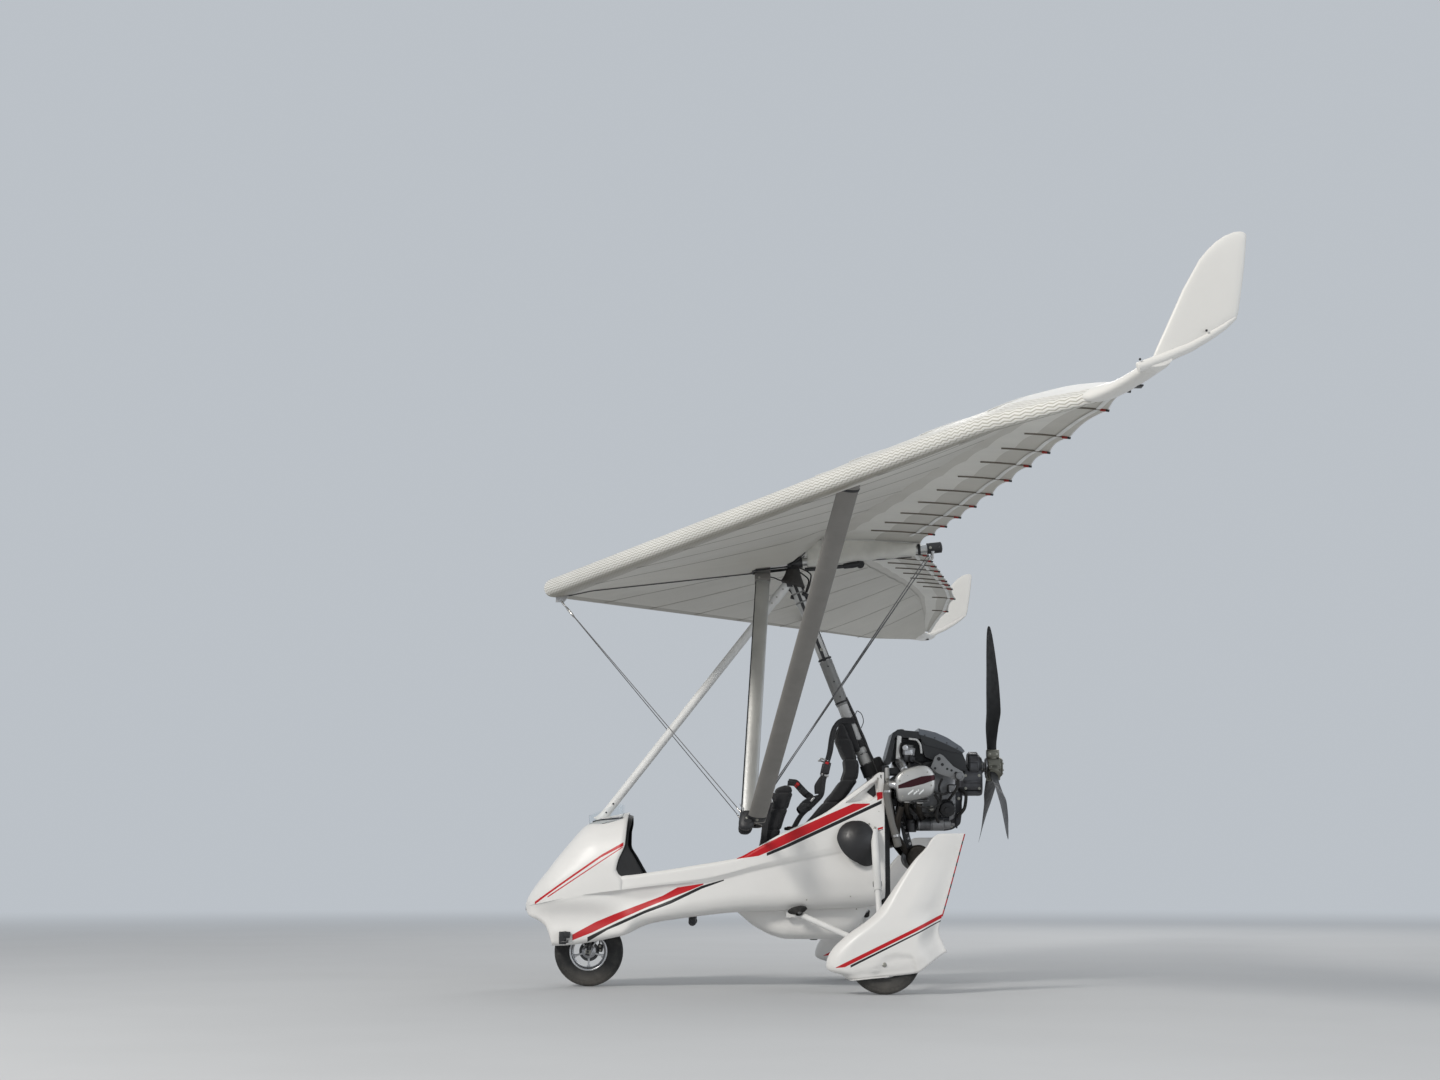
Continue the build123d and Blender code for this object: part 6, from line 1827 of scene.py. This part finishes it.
def add_corner(shape):
    """The moulded fitting at the base bar's corner, its bolts and tang, and the upright's top block."""
    way = (UPRIGHT_HEAD - CORNER).normalized()
    low = CORNER + way * .052
    side, up = square_to(way)
    shape.grid([oval(low - way * s + Vector((-.012 * s / .11, 0, 0)), side, up, .0505 * r, .026 * r, 32)
                for s, r in ((.0, .72), (.002, .86), (.006, .90), (.045, .90), (.075, .86), (.095, .74),
                             (.107, .50), (.1105, .2))], black_plastic, ring=True, caps=(0, -1))
    bolt_pair(shape, CORNER + Vector((-.008, 0, .012)), .028, .006)
    shape.box(UPRIGHT_HEAD - way * .045, (.092, .038, .05), strut_grey, .005, (27, 0, 0))
    shape.bolt(UPRIGHT_HEAD - way * .05 + Vector((-.02, .021, 0)), STARBOARD, .0055)
    shape.plate([(-.006, 0), (.006, 0), (.005, .05), (-.005, .05)], CORNER + Vector((-.028, 0, .045)), .003,
                steel, .0008, (.2, 1, 0), (-.018, 0, .050))


def add_wire_ends(shape):
    """The swages of the front and rear lower stays, the front one's turnbuckle, and the rear wire."""
    for a, b, buckled in ((Vector((-1.393, .005, 2.253)), Vector((-.317, .759, .976)), True),
                          (Vector((.828, .011, 2.542)), Vector((-.246, .756, .994)), False)):
        run = (b - a).normalized()
        for start, turn in ((a, run), (b, -run)):
            shape.tube([start, start + turn * .030], .0058, steel, 12)
            shape.tube([start + turn * .030, start + turn * .050], .0042, steel, 12)
        if buckled:
            shape.tube([a + run * .052, a + run * .064, a + run * .118, a + run * .130],
                       [.0045, .0065, .0065, .0045], steel, 12)
            for k in range(3):
                shape.tube([a + run * (.07 + .016 * k), a + run * (.074 + .016 * k)], .0082, zinc, 6)
    shape.tube([(.800, .014, 2.536), (-.222, .740, 1.02)], .0021, wire, 8, ends=False)


def add_grips(shape):
    """The foam grip and a collar on the base bar."""
    shape.tube([(-.30, .13, .94), (-.285, .13, .94)], .001, wire, 6)
    shape.lathe([(0, .0155), (.003, .0195), (.006, .0205), (.30, .0205), (.303, .0195), (.306, .0155)],
                (-.285, .13, .94), STARBOARD, grip_foam, 32)
    shape.lathe([(0, .0155), (.0, .019), (.012, .019), (.012, .0155)], (-.285, .50, .94), STARBOARD,
                black_plastic, 28)


def add_lift_ends(shape):
    """The moulded ends of the lift strut and its foot bolts."""
    run = (LIFT_TOP - LIFT_FOOT).normalized()
    side, up = square_to(run)
    for start, profile in (
            (LIFT_TOP - run * .085, ((0, .92), (0, 1.03), (.014, 1.05), (.016, .92))),
            (LIFT_FOOT + run * .002, ((0, .3), (.001, .86), (.006, .98), (.040, 1.03), (.044, 1.0),
                                      (.044, .92)))):
        shape.grid([oval(start + run * s, side, up, .0515 * r, .0190 * r, 40) for s, r in profile],
                   black_plastic, ring=True)
    for way in (up, -up):
        shape.bolt(LIFT_FOOT + run * .03 + way * .019, way, .006)


def below_keel(x, drop, y=0):
    """Place a little below the keel tube's middle line."""
    return Vector((x, y, keel_z(x) - drop))


def add_trim_bar(shape):
    """The bar below the keel, its grip, roller and cord."""
    shape.tube([below_keel(.06, .046), below_keel(.13, .050), below_keel(.30, .052)], .0115, black_coat, 16)
    shape.tube([below_keel(.29, .052), below_keel(.345, .050), below_keel(.392, .046)], [.016, .019, .017],
               black_plastic, 18)
    shape.lathe([(-.012, 0), (-.012, .024), (-.006, .019), (.006, .019), (.012, .024), (.012, 0)],
                below_keel(.392, .050), STARBOARD, black_plastic, 28)
    shape.tube([below_keel(.392, .030, .004), below_keel(.70, .040, .004)], .003, black_plastic, 8)


def add_keel_end(shape):
    """The keel's end cap, its collar, bolts and tangs."""
    axis = Vector((1, 0, KEEL_SLOPE)).normalized()
    end = below_keel(.853, 0)
    shape.lathe([(0, 0), (0, .0255), (.004, .0275), (.014, .0275), (.018, .0245), (.027, .0235), (.029, .016),
                 (.029, 0)], end, axis, cast, 40)
    shape.lathe([(-.10, .027), (-.098, .0345), (-.088, .0355), (-.084, .0345), (-.084, .027)],
                end - axis * .02, axis, black_plastic, 40)
    bolt_pair(shape, end - axis * .045, .033, .006)
    for side in SIDES:
        shape.plate([(-.010, 0), (.010, 0), (.006, -.05), (-.006, -.05)],
                    end - axis * .03 + Vector((0, .024 * side, -.018)), .003, steel, .0008)
    bolt_pair(shape, below_keel(-.36, 0), .009, .001, zinc, False)


def make_rigging():
    """Corner fittings, wire swages and turnbuckles, grips, strut ends, the trim bar and the keel's cap."""
    shape = Shape()
    for add in (add_corner, add_wire_ends, add_grips, add_lift_ends):
        add(shape)
    shape.twin()
    add_trim_bar(shape)
    add_keel_end(shape)
    shape.piece("rigging", "wing", angle=40)


make_rigging()


# Small parts on the trike

GAITER = ((-.004, .4), (-.004, 1), (.002, 1.02), (.007, .92), (.010, .70), (.018, .50), (.024, .42),
          (.030, .38), (.034, .36))


def add_brackets(shape):
    """Brackets and a pin low on the nose, and the rubber gaiter on the pod's side."""
    shape.box((-1.346, .238, .284), (.042, .022, .072), black_coat, .004, (0, 0, -6))
    shape.box((-1.320, .243, .302), (.036, .018, .036), black_coat, .003, (0, 8, -6))
    shape.tube([(-1.360, .243, .258), (-1.312, .248, .264)], .0075, black_coat, 12)
    shape.side_bolt(-1.336, .250, .272, .005, black_plastic)
    along = Vector((.25, .74, -.62)).normalized()
    right, up = square_to(along)
    shape.grid([oval(Vector((-.002, .302, .4425)) + along * s, right, up, .056 * r,
                     (.026 + .024 * (1 - r)) * r, 36)
                for s, r in GAITER], rubber, ring=True)


def add_pod_fixings(shape):
    """The black fitting below the pod, screws and rail clips on its side, and the spring strut's collars."""
    shape.box((-.605, .15, .384), (.042, .026, .030), black_coat, .005)
    shape.lathe([(0, 0), (0, .020), (.004, .023), (.022, .023), (.026, .020), (.026, 0)], (-.604, .137, .372),
                STARBOARD, black_coat, 28)
    shape.side_bolt(-.604, .163, .372, .006, dark_cast)
    for x, z in ((.462, 1.19), (.466, 1.0), (.468, .86), (.468, .70), (.30, .52), (.05, .50)):
        shape.side_bolt(x, reading(POD_HALF, x) - .004, z, .0042, zinc, False)
    for x in (-.90, -.62, -.40):
        y, z = reading(POD_HALF, x) - .033, reading(POD_RAIL, x)
        shape.tube([(x, y, z - .03), (x + .03, y, z - .028)], .004, black_plastic, 8)
    shape.lathe([(0, .0225), (.0, .026), (.022, .026), (.022, .0225)], (.4415, .520, .600), (.01, .68, -1),
                pipe_grey, 32)
    shape.lathe([(0, .016), (0, .023), (.03, .021), (.036, .016)], (.4437, .640, .418), (.01, .68, -1),
                rubber, 28)
    shape.side_bolt(.440, .352, .902, .009)
    for x, z in ((.262, .90), (.30, .738), (.41, .93), (.405, .712)):
        shape.side_bolt(x, .3335, z, .0045, zinc, False)


def add_strut_trim(shape):
    """The front strut's collar and bolts."""
    strut = (STRUT_HEAD - STRUT_FOOT).normalized()
    shape.lathe([(0, .043), (.006, .040), (.020, .032), (.045, .0285), (.075, .0262), (.078, .0252)],
                STRUT_FOOT + strut * .385, strut, pod_white, 40)
    for s in (.455, .52):
        bolt_pair(shape, STRUT_FOOT + strut * s, .0245, .0055, black_plastic, False)
    for s in (2.03, 1.92):
        bolt_pair(shape, STRUT_FOOT + strut * s, .0245, .005, zinc, False)


PANEL_X = -1.000
# Columns: y, z, radius
DIALS = ((-.128, .888, .037), (-.043, .905, .037), (.043, .905, .037), (.128, .888, .037), (-.10, .820, .022),
         (.0, .825, .022), (.10, .820, .022))


def add_dial(shape, y, z, radius):
    """A dial on the panel: its rim, face, nine marks and a hand."""
    shape.lathe([(-.004, 0), (-.004, radius), (.004, radius), (.005, radius - .004), (.002, radius - .005),
                 (.002, 0)], (PANEL_X, y, z), AFT, black_plastic, 36)
    shape.lathe([(0, 0), (0, radius - .006), (.0008, radius - .006), (.0008, 0)], (PANEL_X + .0022, y, z),
                AFT, dial_face, 36)
    for k in range(9):
        a = math.radians(-40 + 32.5 * k)
        shape.tube([(PANEL_X + .0034, y + radius * far * math.cos(a), z + radius * far * math.sin(a))
                    for far in (.66, .80)], .0009, dial_mark, 6)
    a = math.radians(60 + 700 * y)
    shape.tube([(PANEL_X + .0036, y, z),
                (PANEL_X + .0036, y + .58 * radius * math.cos(a), z + .58 * radius * math.sin(a))], .0011,
               dial_mark, 6)


def make_pod_parts():
    """Brackets, gaiters, collars, dials, screws and caps on the pod and frame."""
    shape = Shape()
    add_brackets(shape)
    add_pod_fixings(shape)
    shape.twin()
    add_strut_trim(shape)
    for dial in DIALS:
        add_dial(shape, *dial)
    for k in range(5):
        y = -.16 + .08 * k
        shape.tube([(-1.004, y, .786), (-.990, y, .789)], .0035, steel, 10)
    shape.piece("pod_parts", angle=40)


def make_screen_trim():
    """The edging along the windscreen's foot and its screws."""
    shape = Shape()
    line = [Vector((x, y, cowl_height(x, y) + .0035))
            for x, y in ((-1.012, .1205), (-1.08, .1015), (-1.14, .0735), (-1.19, .0385))]
    shape.tube(line, .0042, black_plastic, 10)
    for p in line[:3]:
        shape.bolt(p + Vector((0, .004, .004)), (0, 1, .5), .0038, zinc, False)
    shape.twin()
    shape.piece("screen_trim", angle=40)


make_pod_parts()
make_screen_trim()


def make_fork_parts():
    """Brake caliper, hose and fork bolts that turn with the fork, and ribbed pedals."""
    shape = Shape()
    bolt_pair(shape, FRONT_HUB, .084, .012)
    shape.box(FRONT_HUB + Vector((.064, .034, .018)), (.034, .030, .044), dark_cast, .006, (0, 12, 0))
    shape.bolt(FRONT_HUB + Vector((.064, .018, .028)), (0, -1, 0), .0055)
    shape.bolt(FRONT_HUB + Vector((.066, .018, .006)), (0, -1, 0), .0045)
    shape.hose([FRONT_HUB + STEER * along + Vector(off)
                for along, off in ((0, (.06, .046, .036)), (.12, (.035, .055, 0)), (.18, (.02, .06, 0)),
                                   (.25, (.01, .05, 0)))], .0038, rubber, 10)
    for side in SIDES:
        for k in range(5):
            y, z = .125 * side, .628 + .017 * k
            shape.tube([(-1.144, y - .030, z), (-1.144, y + .030, z)], .003, rubber, 8)
    shape.piece("fork_parts", "fork", angle=40)


make_fork_parts()


# Stage: a pale floor, a studio sky, soft light and the photograph's camera

SKY = (0.50, 0.535, 0.575)


def make_stage():
    """The floor. Seen from the camera it fades into the sky with distance."""
    ground = Shape()
    ground.grid([[(x, y, 0.0) for y in (-60.0, 60.0)] for x in (-60.0, 60.0)], black_coat)
    floor = ground.piece("floor_sheet", "root", angle=30, solid=False)
    paint = Paint("floor", (0.52, 0.53, 0.54), 0.85)
    paint.vary(0.8, 0.02)
    paint.grain(60.0, 0.0002)
    made = paint.done()
    tree = paint.tree
    path = paint.node("LightPath")
    seen = paint.math("MAXIMUM", path.outputs["Is Camera Ray"], path.outputs["Is Glossy Ray"])
    seen = paint.math("MAXIMUM", seen, path.outputs["Is Transmission Ray"])
    away = paint.node("VectorMath", {0: paint.place}, operation="LENGTH").outputs["Value"]
    far = paint.ramp(away, 7.0, 26.0)
    glow = paint.node("Emission", {"Color": (*SKY, 1.0), "Strength": 1.0})
    blend = paint.node("MixShader", {0: paint.times(far, seen)})
    tree.links.new(paint.shader.outputs[0], blend.inputs[1])
    tree.links.new(glow.outputs[0], blend.inputs[2])
    tree.links.new(blend.outputs[0], tree.nodes["Material Output"].inputs["Surface"])
    floor.data.materials.clear()
    floor.data.materials.append(made)


def make_world():
    """Soft white light from all round, and a plain grey-blue sky where it is seen."""
    world = bpy.data.worlds.new("studio")
    bpy.context.scene.world = world
    world.use_nodes = True
    tree = world.node_tree
    back = tree.nodes["Background"]
    back.inputs["Color"].default_value = (0.93, 0.96, 1.0, 1.0)
    back.inputs["Strength"].default_value = 0.50
    path = tree.nodes.new("ShaderNodeLightPath")
    seen = tree.nodes.new("ShaderNodeBackground")
    seen.inputs["Color"].default_value = (*SKY, 1.0)
    either, third = tree.nodes.new("ShaderNodeMath"), tree.nodes.new("ShaderNodeMath")
    either.operation = third.operation = "MAXIMUM"
    mix = tree.nodes.new("ShaderNodeMixShader")
    for source, target in ((path.outputs["Is Camera Ray"], either.inputs[0]),
                           (path.outputs["Is Glossy Ray"], either.inputs[1]),
                           (either.outputs[0], third.inputs[0]),
                           (path.outputs["Is Transmission Ray"], third.inputs[1]),
                           (third.outputs[0], mix.inputs[0]), (back.outputs[0], mix.inputs[1]),
                           (seen.outputs[0], mix.inputs[2]),
                           (mix.outputs[0], tree.nodes["World Output"].inputs[0])):
        tree.links.new(source, target)


def add_lamp(name, place, target, energy, size, colour):
    """A square lamp that faces a target."""
    lamp = bpy.data.lights.new(name, "AREA")
    lamp.energy, lamp.size, lamp.color = energy, size, colour
    made = bpy.data.objects.new(name, lamp)
    made.location = place
    made.rotation_euler = (Vector(target) - Vector(place)).to_track_quat("-Z", "Y").to_euler()
    bpy.context.scene.collection.objects.link(made)


def make_camera():
    """The photograph's camera."""
    data = bpy.data.cameras.new("photo_view")
    data.lens, data.sensor_width, data.sensor_fit = CAMERA_LENS, 36.0, "HORIZONTAL"
    data.clip_end = 300.0
    camera = bpy.data.objects.new("photo_view", data)
    camera.location = CAMERA_PLACE
    camera.rotation_euler = (math.radians(90 + CAMERA_PITCH), 0, math.radians(CAMERA_YAW))
    bpy.context.scene.collection.objects.link(camera)
    bpy.context.scene.camera = camera


make_stage()
make_world()
add_lamp("key", (-9.0, -11.5, 10.5), (0, 0, 1.2), 1550, 3.0, (1.0, 0.965, 0.91))
add_lamp("fill", (9.5, -9.0, 4.0), (0, 0, 1.4), 240, 7.0, (0.90, 0.95, 1.0))
add_lamp("back", (4.0, 12.0, 8.0), (0, 0, 1.5), 420, 6.0, (1.0, 0.98, 0.95))
make_camera()
bpy.context.scene.view_settings.view_transform = "Standard"
